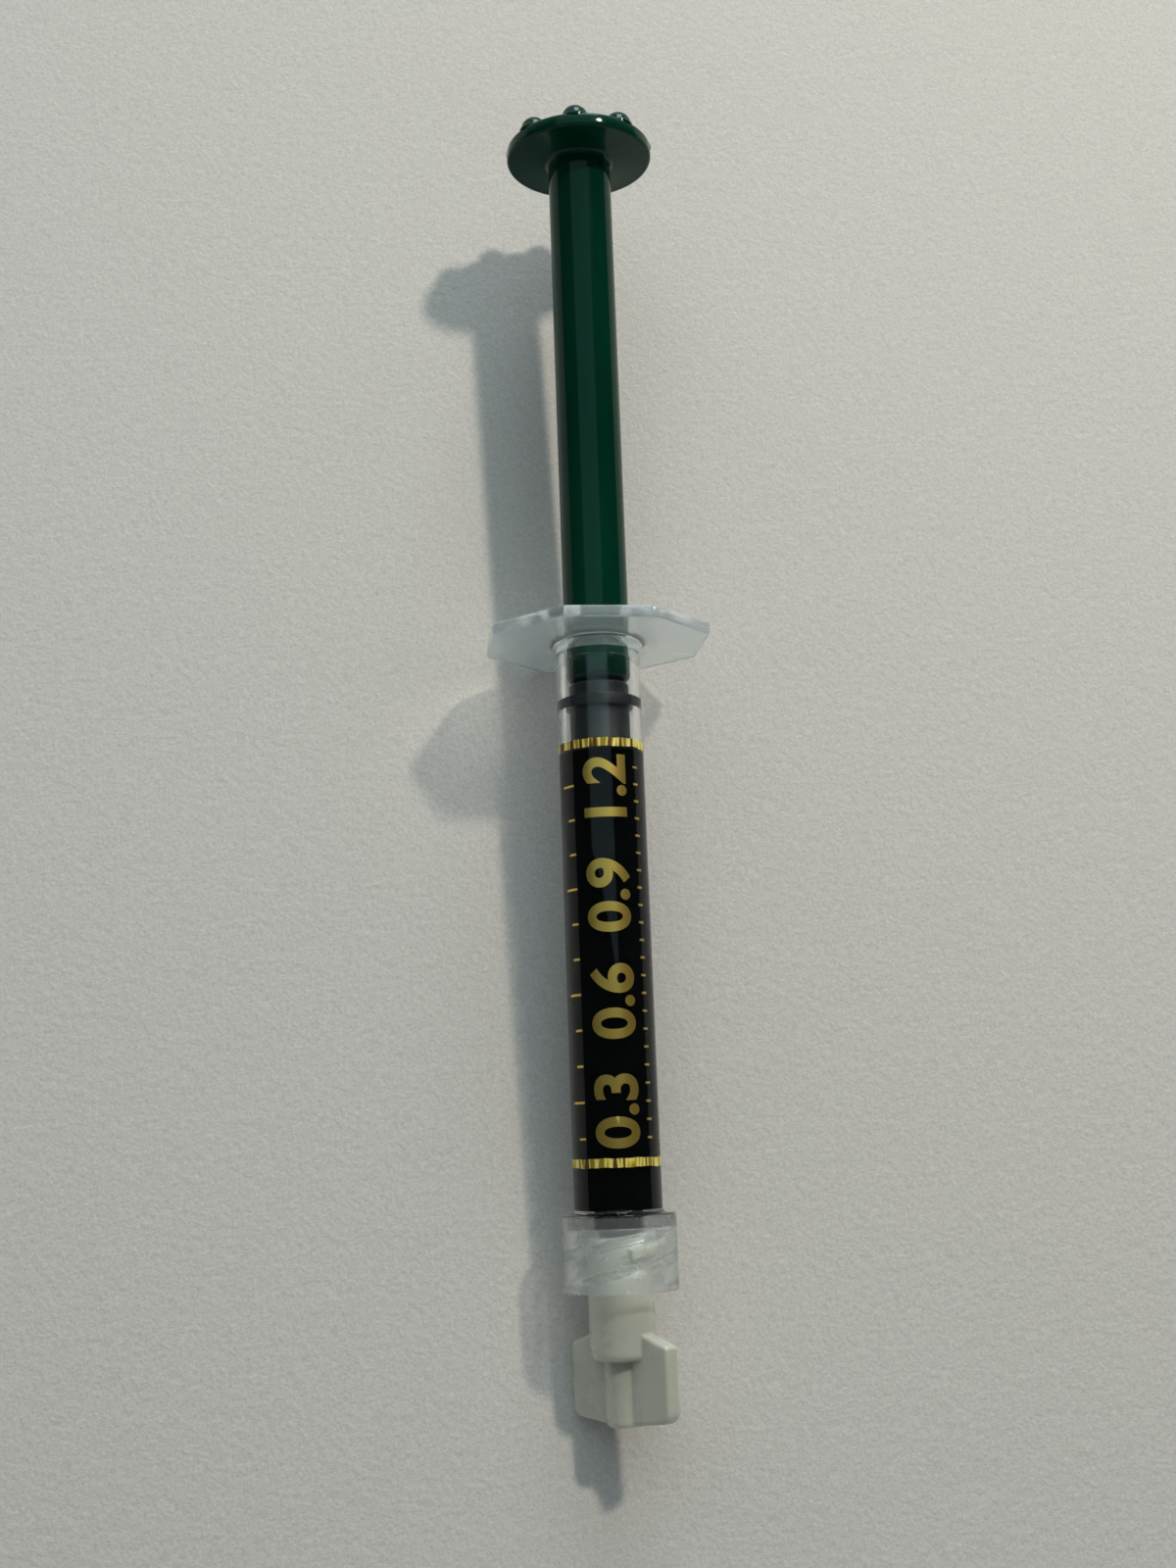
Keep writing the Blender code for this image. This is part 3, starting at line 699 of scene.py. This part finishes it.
def barrel_rings(sizes):
    """Rings of the whole moulding, down the bore and back up the outside."""
    bore_end = -sizes.bore_depth
    collar_top = bore_end - COLLAR_DROP
    floor = collar_top - sizes.collar_web
    outer = BORE_RADIUS + sizes.wall
    collar = sizes.collar_bore + sizes.collar_wall
    inside = rounded(
        [
            (BORE_RADIUS + sizes.lead_in, 0, 0),
            (BORE_RADIUS, -sizes.lead_in, 0.3 * MM),
            (BORE_RADIUS, bore_end + sizes.bore_chamfer, 0.15 * MM),
            (BORE_RADIUS - sizes.bore_chamfer, bore_end, 0.1 * MM),
            (sizes.funnel, bore_end, 0.12 * MM),
            (sizes.funnel, floor, 0.4 * MM),
            (sizes.channel, floor - 1.2 * MM, 0.4 * MM),
            (sizes.channel, NOZZLE_END, 0.08 * MM),
            (nozzle_radius(sizes, NOZZLE_END) - 0.05 * MM, NOZZLE_END, 0.15 * MM),
            (nozzle_radius(sizes, floor), floor, 0.25 * MM),
            (sizes.collar_bore, floor, 0.15 * MM),
            (sizes.collar_bore, floor - 0.2 * MM, 0),
        ]
    )
    rings = [circle(radius, z) for radius, z in inside]
    low = COLLAR_END + 0.3 * MM
    high = floor - 0.25 * MM
    count = round((high - low) / (0.075 * MM))
    for i in range(count + 1):
        z = high + (low - high) * i / count
        rings.append(
            [
                polar(sizes.collar_bore - ridge_rise(sizes, angle, z, low, high), angle, z)
                for angle in ANGLES
            ]
        )
    outside = rounded(
        [
            (sizes.collar_bore, low, 0),
            (sizes.collar_bore, COLLAR_END, 0.12 * MM),
            (collar, COLLAR_END, sizes.collar_edge),
            (collar, collar_top, sizes.collar_edge),
            (outer, collar_top, 0.45 * MM),
            (outer, FLANGE_BACK, sizes.flange_fillet),
            (outer + 2 * sizes.flange_fillet, FLANGE_BACK, 0),
        ]
    )
    rings += [circle(radius, z) for radius, z in outside[1:]]
    edge = sizes.flange_edge
    corner = sizes.flange_corner
    shallow = FLANGE_APOTHEM - edge
    rings.append(octagon(0.7 * FLANGE_APOTHEM, corner, FLANGE_BACK))
    for i in range(2 * ROUND_STEPS + 1):
        turn = math.pi * i / (2 * ROUND_STEPS)
        middle = FLANGE_BACK + edge if i <= ROUND_STEPS else -edge
        rings.append(
            octagon(shallow + edge * math.sin(turn), corner, middle - edge * math.cos(turn))
        )
    rings.append(octagon(0.7 * FLANGE_APOTHEM, corner, 0))
    return rings


class GELSYRINGE_OT_barrel(Operator):
    """Build the clear barrel with its flange, nozzle and threaded collar"""

    bl_idname = "gel_syringe.barrel"
    bl_label = "Clear Barrel"

    def execute(self, context):
        sizes = context.scene.gel_syringe_barrel
        finishes = context.scene.gel_syringe_finishes
        bm = bmesh.new()
        skin(bm, barrel_rings(sizes), closed=True)
        floor = -sizes.bore_depth - COLLAR_DROP - sizes.collar_web
        outer = BORE_RADIUS + sizes.wall
        thread = sizes.collar_bore - sizes.thread_height - CAD_PLAY
        for face in bm.faces:
            middle = face.calc_center_median()
            if middle.z > FLANGE_BACK - sizes.flange_fillet and middle.xy.length > outer:
                face.material_index = 1
            elif middle.z < floor and middle.xy.length > thread:
                face.material_index = 2
        clear = clear_material("clear_plastic", tuple(finishes.clear), 1.0, 0.01, 0.03, 0.93)
        milky = clear_material("milky_plastic", tuple(finishes.haze), 0.76, 0.05, 0.12, 0.74)
        frosted = clear_material("frosted_plastic", tuple(finishes.frost), 0.86, 0.2, 0.32, 0.76)
        barrel = add_piece(
            "clear_barrel", bm, "barrel", [clear, milky, frosted], ["barrel"]
        )
        keep_flats_flat(barrel)
        return {"FINISHED"}


# ---------------------------------------------------------------- plunger and stopper


def grip_bump(bm, sizes, index):
    """A round bump with a small fillet where it leaves the thumb disc."""
    ring_radius = DISC_RADIUS - sizes.bump_radius - sizes.bump_inset
    angle = sizes.bump_phase + 2 * math.pi * index / sizes.bump_count
    place = Matrix.Translation(polar(ring_radius, angle, DISC_TOP))
    radius = sizes.bump_radius
    foot = sizes.bump_foot
    profile = [(radius + foot / 2, -foot)]
    profile += [(radius + foot / 2, 0), (radius + foot / 6, foot / 4)]
    for step in range(1, 10):
        lift = math.radians(10 * step)
        profile.append((radius * math.cos(lift), radius * math.sin(lift)))
    rings = [circle(max(r, 0.0), z) for r, z in profile]
    rings.insert(0, [Vector((0, 0, -foot))])
    rings[-1] = [Vector((0, 0, radius))]
    skin(bm, [[place @ point for point in ring] for ring in rings])


class GELSYRINGE_OT_rod(Operator):
    """Build the green plunger rod with its thumb disc and grip bumps"""

    bl_idname = "gel_syringe.rod"
    bl_label = "Plunger Rod"

    def execute(self, context):
        sizes = context.scene.gel_syringe_plunger
        finishes = context.scene.gel_syringe_finishes
        rod = BORE_RADIUS - sizes.rod_play
        head = rod - sizes.head_relief
        waist = rod - sizes.waist_relief
        head_top = ROD_SHOULDER + sizes.head_length
        waist_top = head_top + sizes.waist_length
        underside = DISC_TOP - sizes.disc_thickness
        neck_end = ROD_SHOULDER - STUD_NECK
        corners = [
            (0, ROD_END, 0),
            (sizes.barb_radius - 0.5 * MM, ROD_END, 0.15 * MM),
            (sizes.barb_radius, ROD_END + 0.5 * MM, 0.15 * MM),
            (sizes.barb_radius, neck_end, 0.05 * MM),
            (sizes.stud_radius, neck_end, 0.1 * MM),
            (sizes.stud_radius, ROD_SHOULDER, 0.1 * MM),
            (head, ROD_SHOULDER, sizes.head_round),
            (head, head_top, 0.08 * MM),
            (waist, head_top + 0.12 * MM, 0.08 * MM),
            (waist, waist_top, sizes.head_round),
            (waist - 0.35 * MM, waist_top + 0.15 * MM, 0.2 * MM),
            (waist - 0.35 * MM, waist_top + 0.55 * MM, 0.2 * MM),
            (rod, waist_top + 0.9 * MM, 0.3 * MM),
            (rod, underside - sizes.disc_dish, sizes.disc_fillet),
            (DISC_RADIUS - 0.6 * MM, underside, 0.8 * MM),
            (DISC_RADIUS, underside, sizes.disc_edge),
            (DISC_RADIUS, DISC_TOP, sizes.disc_edge),
            (DISC_RADIUS * 0.6, DISC_TOP, 0),
            (0, DISC_TOP, 0),
        ]
        bm = bmesh.new()
        turned(bm, corners)
        for index in range(sizes.bump_count):
            grip_bump(bm, sizes, index)
        green = tuple(finishes.green)
        material = solid_material(
            "green_plastic",
            [shade(green, 0.85), shade(green, 1.2)],
            260.0,
            (0.07, 0.12),
            0.002 * MM,
            stretch=(1, 1, 4),
            IOR=1.45,
            Specular_IOR_Level=0.4,
        )
        add_piece(
            "plunger_rod_moulding", bm, "plunger_rod", [material], ["plunger_rod"]
        )
        return {"FINISHED"}


class GELSYRINGE_OT_stopper(Operator):
    """Build the rubber stopper with its two sealing ribs"""

    bl_idname = "gel_syringe.stopper"
    bl_label = "Rubber Stopper"

    def execute(self, context):
        sizes = context.scene.gel_syringe_plunger
        finishes = context.scene.gel_syringe_finishes
        seal = BORE_RADIUS + WETTING
        body = sizes.stopper_body
        play = sizes.stopper_play
        rear = STOPPER_BACK - sizes.rib_offset
        front = STOPPER_FRONT + sizes.rib_width
        neck_end = ROD_SHOULDER - STUD_NECK
        edge = 0.12 * MM
        corners = [
            (0, ROD_END - play, 0),
            (sizes.barb_radius + play, ROD_END - play, 0.1 * MM),
            (sizes.barb_radius + play, neck_end + play, 0.1 * MM),
            (sizes.stud_radius + play, neck_end + play, 0.1 * MM),
            (sizes.stud_radius + play, STOPPER_BACK, 0.1 * MM),
            (body, STOPPER_BACK, 0.4 * MM),
            (body, rear, 0.05 * MM),
            (seal, rear, edge),
            (seal, rear - sizes.rib_width, edge),
            (body, rear - sizes.rib_width, 0.05 * MM),
            (body, front, 0.05 * MM),
            (seal, front, edge),
            (seal, STOPPER_FRONT + 0.4 * MM, 0.05 * MM),
            (seal - 0.4 * MM, STOPPER_FRONT, 0.05 * MM),
            (0, STOPPER_FRONT, 0),
        ]
        bm = bmesh.new()
        turned(bm, corners)
        rubber = tuple(finishes.rubber)
        material = solid_material(
            "black_rubber",
            [shade(rubber, 0.8), shade(rubber, 1.25)],
            1400.0,
            (0.4, 0.55),
            0.006 * MM,
            IOR=1.52,
        )
        add_piece("rubber_stopper", bm, "stopper", [material], ["stopper"])
        return {"FINISHED"}


# ---------------------------------------------------------------- the gel


class GELSYRINGE_OT_gel(Operator):
    """Build the gel in the bore and the nozzle, and the bead of it in the cap"""

    bl_idname = "gel_syringe.gel"
    bl_label = "Gel"

    def execute(self, context):
        sizes = context.scene.gel_syringe_barrel
        finishes = context.scene.gel_syringe_finishes
        gel = tuple(finishes.gel)
        material = solid_material(
            "black_gel", [gel, shade(gel, 2.2)], 500.0, (0.1, 0.2), 0.01 * MM, IOR=1.06
        )
        bore = BORE_RADIUS + WETTING
        bore_end = -sizes.bore_depth
        last_front = STOPPER_FRONT - TRAVEL - LEFT_OVER
        cone = bore_end + sizes.bore_chamfer - last_front
        bm = bmesh.new()
        turned(
            bm,
            [
                (0, STOPPER_FRONT - CREASE, 0),
                (bore - 0.4 * MM, STOPPER_FRONT - CREASE, 0),
                (bore, STOPPER_FRONT + 0.4 * MM - CREASE, 0),
                (bore, bore_end + sizes.bore_chamfer, 0),
                (bore - cone, last_front, 0),
                (0, last_front, 0),
            ],
        )
        column = add_piece(
            "gel_in_bore", bm, "barrel", [material], ["gel_column"]
        )
        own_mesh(column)
        floor = bore_end - COLLAR_DROP - sizes.collar_web
        bm = bmesh.new()
        turned(
            bm,
            [
                (0, last_front - CREASE, 0),
                (bore - cone - CREASE, last_front - CREASE, 0),
                (bore - sizes.bore_chamfer, bore_end - WETTING, 0.05 * MM),
                (sizes.funnel + WETTING, bore_end - WETTING, 0.12 * MM),
                (sizes.funnel + WETTING, floor, 0.4 * MM),
                (sizes.channel + WETTING, floor - 1.2 * MM, 0.4 * MM),
                (sizes.channel + WETTING, GEL_END, 0.3 * MM),
                (0, GEL_END - 0.05 * MM, 0),
            ],
        )
        add_piece("gel_in_nozzle", bm, "barrel", [material], ["gel_column"])
        low, high, radius = reach("cap_gel")
        bm = bmesh.new()
        turned(
            bm,
            [
                (0, low, 0),
                (radius * 0.7, low, 0.15 * MM),
                (radius, low + 0.2 * MM, 0.15 * MM),
                (radius, high - 0.2 * MM, 0.15 * MM),
                (radius * 0.7, high, 0.15 * MM),
                (0, high, 0),
            ],
        )
        add_piece("gel_bead_in_cap", bm, "cap_gel", [material], ["cap_gel"])
        return {"FINISHED"}


# ---------------------------------------------------------------- the tip cap


def wing_outline(sizes, hub, shoulder):
    """Half outline of the wings, from the shoulder at the hub to the foot."""
    span = sizes.wing_span / 2
    drop = shoulder - sizes.wing_slope * (span - hub)
    foot = CAP_END + sizes.wing_foot
    corners = [
        (hub * 0.6, shoulder, 0),
        (hub, shoulder, 0.4 * MM),
        (span, drop, sizes.wing_shoulder),
        (span, foot, sizes.wing_corner),
        (hub * 0.6, CAP_END + 0.15 * MM, 0),
    ]
    return rounded(corners)


def add_wings(bm, sizes, hub, shoulder):
    """A flat plate through the axis with all its edges rounded."""
    right = [tuple(point) for point in wing_outline(sizes, hub, shoulder)]
    left = [(-span, z) for span, z in reversed(right)]
    edge = sizes.wing_edge
    half = sizes.wing_thickness / 2
    outline = [Vector(point) for point in right + left]
    centre = Vector((0, (shoulder + CAP_END) / 2))
    rings = []
    for i in range(2 * ROUND_STEPS + 2):
        turn = math.pi / 2 * min(i, ROUND_STEPS) / ROUND_STEPS
        if i > ROUND_STEPS:
            turn = math.pi / 2 * (1 + (i - ROUND_STEPS - 1) / ROUND_STEPS)
        inset = edge * (1 - math.sin(turn))
        side = (half - edge) + edge * abs(math.cos(turn))
        side = -side if i <= ROUND_STEPS else side
        ring = []
        for n, point in enumerate(outline):
            before = outline[n - 1]
            after = outline[(n + 1) % len(outline)]
            along = (after - before).normalized()
            inward = Vector((-along.y, along.x))
            if inward.dot(centre - point) < 0:
                inward = -inward
            moved = point + inward * inset
            ring.append(Vector((moved.x, side, moved.y)))
        rings.append(ring)
    turn = Matrix.Rotation(sizes.wing_angle, 4, "Z")
    loops = skin(bm, [[turn @ point for point in ring] for ring in rings])
    bm.faces.new(loops[0])
    bm.faces.new(loops[-1])


def add_lug(bm, sizes, barrel, index, hub):
    """A thread lug at the cap's mouth, sloping with the thread."""
    steps = 24
    half = sizes.lug_width / 2
    inner = hub - 0.3 * MM
    rings = []
    for i in range(steps + 1):
        swing = sizes.lug_arc * (i / steps - 0.5)
        z = thread_turn(barrel, sizes.wing_angle + swing)
        middle = sizes.wing_angle + math.pi * index + swing
        section = [(inner, z - half), (sizes.lug_radius, z - half * 0.75)]
        section += [(sizes.lug_radius, z + half * 0.75), (inner, z + half)]
        rings.append([polar(radius, middle, level) for radius, level in section])
    loops = skin(bm, rings)
    bm.faces.new(loops[0])
    bm.faces.new(loops[-1])


class GELSYRINGE_OT_cap(Operator):
    """Build the tip cap: hub with its socket and lugs, core and finger wings"""

    bl_idname = "gel_syringe.cap"
    bl_label = "Tip Cap"

    def execute(self, context):
        sizes = context.scene.gel_syringe_cap
        barrel = context.scene.gel_syringe_barrel
        finishes = context.scene.gel_syringe_finishes
        shoulder = CAP_END + sizes.wing_length
        socket_end = shoulder + sizes.socket_floor
        hub_end = shoulder - sizes.hub_past
        mouth = nozzle_radius(barrel, CAP_MOUTH) + sizes.socket_play
        hub = mouth + sizes.hub_wall
        bm = bmesh.new()
        turned(
            bm,
            [
                (0, socket_end, 0),
                (nozzle_radius(barrel, socket_end) + sizes.socket_play, socket_end, 0.1 * MM),
                (mouth, CAP_MOUTH, 0.1 * MM),
                (hub, CAP_MOUTH, 0.15 * MM),
                (hub, hub_end, sizes.hub_round),
                (0, hub_end, 0),
            ],
        )
        turned(
            bm,
            [
                (0, hub_end + 0.5 * MM, 0),
                (sizes.core_radius, hub_end + 0.5 * MM, 0),
                (sizes.core_radius, CAP_END, 0.4 * MM),
                (0, CAP_END, 0),
            ],
        )
        add_wings(bm, sizes, hub, shoulder)
        for index in range(barrel.thread_starts):
            add_lug(bm, sizes, barrel, index, hub)
        ivory = tuple(finishes.ivory)
        material = solid_material(
            "ivory_plastic",
            [shade(ivory, 0.97), shade(ivory, 1.03)],
            420.0,
            (0.24, 0.34),
            0.003 * MM,
            IOR=1.52,
            Coat_Weight=1.0,
            Coat_Roughness=0.1,
            Subsurface_Weight=0.6,
            Subsurface_Radius=(1.0, 0.85, 0.65),
            Subsurface_Scale=0.9 * MM,
        )
        cap = add_piece("winged_tip_cap", bm, "tip_cap", [material], ["tip_cap"])
        blend = cap.modifiers.new("one_moulding", "REMESH")
        blend.mode = "VOXEL"
        blend.voxel_size = sizes.blend
        blend.use_smooth_shade = True
        soften = cap.modifiers.new("soft_corners", "SMOOTH")
        soften.factor = 0.5
        soften.iterations = 6
        return {"FINISHED"}


# ---------------------------------------------------------------- the gold print


def foil_band(name, span, sizes, barrel, material):
    """A printed ring with the slightly ragged edges of stamped foil."""
    low, high, _ = reach(span)
    inner = BORE_RADIUS + barrel.wall - 0.005 * MM
    outer = BORE_RADIUS + barrel.wall + sizes.thickness
    rings = [[], [], [], []]
    for angle in ANGLES:
        ragged = 0.02 * MM * (math.sin(7 * angle + low * 1e4) + math.sin(17 * angle))
        step = 0.05 * MM if math.sin(3 * angle + 1.0) > 0.8 else 0.0
        rings[0].append(polar(inner, angle, high + ragged))
        rings[1].append(polar(inner, angle, low + ragged + step))
        rings[2].append(polar(outer, angle, low + ragged + step))
        rings[3].append(polar(outer, angle, high + ragged))
    bm = bmesh.new()
    skin(bm, rings, closed=True)
    add_piece(name, bm, "barrel", [material], [span])


class GELSYRINGE_OT_bands(Operator):
    """Build the two gold foil rings"""

    bl_idname = "gel_syringe.bands"
    bl_label = "Foil Rings"

    def execute(self, context):
        sizes = context.scene.gel_syringe_print
        barrel = context.scene.gel_syringe_barrel
        material = gold_material(context.scene.gel_syringe_finishes)
        foil_band("foil_ring_upper", "foil_band_upper", sizes, barrel, material)
        foil_band("foil_ring_lower", "foil_band_lower", sizes, barrel, material)
        return {"FINISHED"}


def wrap(point, sizes, radius):
    """From the flat print (along, across, out) to the barrel; across runs clockwise."""
    return polar(radius + point.z, sizes.facing - point.y / radius, point.x)


def numeral_mesh(text, sizes):
    """A flat, thin numeral, centred, cut into narrow strips so that it can be bent."""
    curve = bpy.data.curves.new("numeral", "FONT")
    curve.body = text
    curve.size = sizes.numeral_size
    curve.offset = sizes.numeral_weight
    curve.extrude = sizes.thickness / 2
    curve.align_x = "CENTER"
    curve.align_y = "CENTER"
    curve.resolution_u = 8
    carrier = bpy.data.objects.new("numeral", curve)
    bpy.context.scene.collection.objects.link(carrier)
    bpy.context.view_layer.update()
    flat = carrier.evaluated_get(bpy.context.evaluated_depsgraph_get()).to_mesh()
    bm = bmesh.new()
    bm.from_mesh(flat)
    bpy.data.objects.remove(carrier)
    bpy.data.curves.remove(curve)
    bmesh.ops.remove_doubles(bm, verts=bm.verts, dist=1e-7)
    heights = [vertex.co.y for vertex in bm.verts]
    stretch = sizes.numeral_height / (max(heights) - min(heights))
    middle = (max(heights) + min(heights)) / 2
    for vertex in bm.verts:
        vertex.co.y = (vertex.co.y - middle) * stretch
    strip = 0.2 * MM
    cuts = math.floor(sizes.numeral_height / 2 / strip)
    for i in range(-cuts, cuts + 1):
        geometry = bm.verts[:] + bm.edges[:] + bm.faces[:]
        bmesh.ops.bisect_plane(bm, geom=geometry, plane_co=(0, i * strip, 0), plane_no=(0, 1, 0))
    return bm


def add_bar(bm, along, across_from, across_to, width, thickness):
    """A flat bar of the print, cut into short lengths along its arc."""
    steps = max(2, math.ceil(abs(across_to - across_from) / (0.25 * MM)))
    rings = []
    for i in range(steps + 1):
        across = across_from + (across_to - across_from) * i / steps
        rings.append(
            [
                Vector((along - width / 2, across, -thickness / 2)),
                Vector((along + width / 2, across, -thickness / 2)),
                Vector((along + width / 2, across, thickness / 2)),
                Vector((along - width / 2, across, thickness / 2)),
            ]
        )
    loops = skin(bm, rings)
    bm.faces.new(loops[0])
    bm.faces.new(loops[-1])


class GELSYRINGE_OT_scale(Operator):
    """Print the gold graduation: numerals, and a line for each step of volume"""

    bl_idname = "gel_syringe.scale"
    bl_label = "Gold Graduation"

    def execute(self, context):
        sizes = context.scene.gel_syringe_print
        barrel = context.scene.gel_syringe_barrel
        material = bpy.data.materials["gold_foil"]
        radius = BORE_RADIUS + barrel.wall
        centimetre = 0.01
        per_tenth = 0.1 / (math.pi * (BORE_RADIUS / centimetre) ** 2) * centimetre
        numerals = bmesh.new()
        for tenths in (3, 6, 9, 12):
            flat = numeral_mesh(f"{tenths / 10:.1f}", sizes)
            middle = -barrel.bore_depth + tenths * per_tenth - NUMERAL_DROP
            mesh = bpy.data.meshes.new("numeral")
            for vertex in flat.verts:
                moved = vertex.co + Vector((middle, 0, 0))
                vertex.co = wrap(moved, sizes, radius)
            flat.to_mesh(mesh)
            flat.free()
            numerals.from_mesh(mesh)
            bpy.data.meshes.remove(mesh)
        add_piece("foil_numerals", numerals, "barrel", [material])
        lines = bmesh.new()
        lowest = LOWER_BAND[1] + 1.5 * MM
        highest = UPPER_BAND[0] - 1.5 * MM
        for half_tenths in range(2, 26):
            along = -barrel.bore_depth + half_tenths * per_tenth / 2
            if not lowest < along < highest:
                continue
            reach_left = 4.6 * MM if half_tenths % 6 == 0 else 3.9 * MM
            if half_tenths % 2 == 0:
                add_bar(lines, along, 3.1 * MM, reach_left, sizes.tick_width, sizes.thickness)
            add_bar(lines, along, -2.9 * MM, -3.5 * MM, sizes.tick_width, sizes.thickness)
        for vertex in lines.verts:
            vertex.co = wrap(vertex.co, sizes, radius)
        add_piece("foil_lines", lines, "barrel", [material])
        return {"FINISHED"}


# ---------------------------------------------------------------- the stage

FLOOR_HALF = 4.0
# Where each light stands, the spot that the ceiling panel faces, and their tints.
KEY_PLACE = Vector((0.168, 0.232, 0.357))
KEY_SIZE = 0.028
KEY_TINT = (1.0, 0.93, 0.82)
PANEL_PLACE = Vector((-0.071, 0.343, 0.444))
PANEL_TARGET = Vector((-0.048, 0.34, 0.0))
PANEL_TINT = (0.68, 0.94, 1.0)
WINDOW_PLACE = Vector((0.12, 0.95, 0.4))
WINDOW_TINT = (0.86, 0.95, 1.0)


def add_area_light(name, place, target, size, power, tint):
    light = bpy.data.lights.new(name, "AREA")
    light.shape = "RECTANGLE"
    light.size, light.size_y = size
    light.energy = power
    light.color = tint
    obj = bpy.data.objects.new(name, light)
    bpy.context.scene.collection.objects.link(obj)
    obj.location = place
    obj.rotation_euler = (target - place).to_track_quat("-Z", "Y").to_euler()
    return obj


def room_world(stage):
    """A dim room that is light low in front of the syringe and lighter behind it."""
    world = bpy.data.worlds.new("room")
    world.use_nodes = True
    tree = world.node_tree
    where = add_node(tree, "ShaderNodeTexCoord")
    parts = add_node(tree, "ShaderNodeSeparateXYZ", {"Vector": where.outputs["Generated"]})
    from_front = add_node(
        tree,
        "ShaderNodeMapRange",
        {"Value": parts.outputs["Y"], "From Min": -1.0, "From Max": 1.0},
    )
    light = ramp(
        tree,
        from_front.outputs["Result"],
        [
            (0.20, (0.26, 0.29, 0.30)),
            (0.30, (0.05, 0.055, 0.06)),
            (0.72, (0.05, 0.055, 0.06)),
            (0.82, (0.55, 0.6, 0.62)),
        ],
    )
    background = tree.nodes["Background"]
    tree.links.new(light, background.inputs["Color"])
    background.inputs["Strength"].default_value = stage.room_light
    return world


class GELSYRINGE_OT_stage(Operator):
    """Set up the paper floor, the lights and the camera"""

    bl_idname = "gel_syringe.stage"
    bl_label = "Stage"

    def execute(self, context):
        scene = context.scene
        stage = scene.gel_syringe_stage
        bm = bmesh.new()
        bmesh.ops.create_grid(bm, x_segments=4, y_segments=4, size=FLOOR_HALF)
        mesh = bpy.data.meshes.new("paper_floor")
        bm.to_mesh(mesh)
        bm.free()
        mesh.materials.append(paper_material(scene.gel_syringe_finishes))
        floor = bpy.data.objects.new("paper_floor", mesh)
        floor.location.z = CAD_BOX[0][2]
        scene.collection.objects.link(floor)

        middle = LAY @ Vector((0, 0, 0))
        key_size = (KEY_SIZE, KEY_SIZE)
        add_area_light("key", KEY_PLACE, middle, key_size, stage.key_power, KEY_TINT)
        add_area_light(
            "ceiling", PANEL_PLACE, PANEL_TARGET, (0.67, 0.52), stage.panel_power, PANEL_TINT
        )
        add_area_light(
            "window", WINDOW_PLACE, middle, (0.4, 0.3), stage.window_power, WINDOW_TINT
        )
        scene.world = room_world(stage)

        aim = LAY @ Vector((stage.aim_side, 0, -stage.aim_along))
        level = math.cos(stage.elevation)
        away = Vector(
            (
                level * math.cos(stage.azimuth),
                level * math.sin(stage.azimuth),
                math.sin(stage.elevation),
            )
        )
        lens = bpy.data.cameras.new("camera")
        lens.lens = stage.focal_length
        lens.clip_start = 0.002
        lens.clip_end = 20
        camera = bpy.data.objects.new("camera", lens)
        scene.collection.objects.link(camera)
        turn = (-away).to_track_quat("-Z", "Y").to_matrix().to_4x4()
        roll = Matrix.Rotation(stage.roll, 4, "Z")
        camera.matrix_world = Matrix.Translation(aim + away * stage.distance) @ turn @ roll
        scene.camera = camera
        scene.view_settings.view_transform = "Standard"
        scene.view_settings.look = "Medium High Contrast"
        return {"FINISHED"}


class GELSYRINGE_PT_panel(Panel):
    """Lists the steps and the sizes of the gel syringe"""

    bl_label = "Gel Syringe"
    bl_idname = "GELSYRINGE_PT_panel"
    bl_space_type = "VIEW_3D"
    bl_region_type = "UI"
    bl_category = "Gel Syringe"

    def draw(self, context):
        layout = self.layout
        for step in STEPS:
            layout.operator(step.bl_idname)
        for name in SETTINGS:
            group = getattr(context.scene, name)
            box = layout.box()
            for prop in group.bl_rna.properties:
                if not prop.is_readonly and prop.identifier != "name":
                    box.prop(group, prop.identifier)


STEPS = (
    GELSYRINGE_OT_barrel,
    GELSYRINGE_OT_rod,
    GELSYRINGE_OT_stopper,
    GELSYRINGE_OT_gel,
    GELSYRINGE_OT_cap,
    GELSYRINGE_OT_bands,
    GELSYRINGE_OT_scale,
    GELSYRINGE_OT_stage,
)
SETTINGS = {
    "gel_syringe_barrel": BarrelSizes,
    "gel_syringe_plunger": PlungerSizes,
    "gel_syringe_cap": CapSizes,
    "gel_syringe_print": PrintSizes,
    "gel_syringe_finishes": Finishes,
    "gel_syringe_stage": StageSettings,
}


def register():
    for name, group in SETTINGS.items():
        bpy.utils.register_class(group)
        setattr(bpy.types.Scene, name, PointerProperty(type=group))
    for step in STEPS:
        bpy.utils.register_class(step)
    bpy.utils.register_class(GELSYRINGE_PT_panel)


def unregister():
    bpy.utils.unregister_class(GELSYRINGE_PT_panel)
    for step in reversed(STEPS):
        bpy.utils.unregister_class(step)
    for name, group in SETTINGS.items():
        delattr(bpy.types.Scene, name)
        bpy.utils.unregister_class(group)


def main():
    register()
    bpy.ops.gel_syringe.barrel()
    bpy.ops.gel_syringe.rod()
    bpy.ops.gel_syringe.stopper()
    bpy.ops.gel_syringe.gel()
    bpy.ops.gel_syringe.cap()
    bpy.ops.gel_syringe.bands()
    bpy.ops.gel_syringe.scale()
    bpy.ops.gel_syringe.stage()


if __name__ == "__main__":
    main()
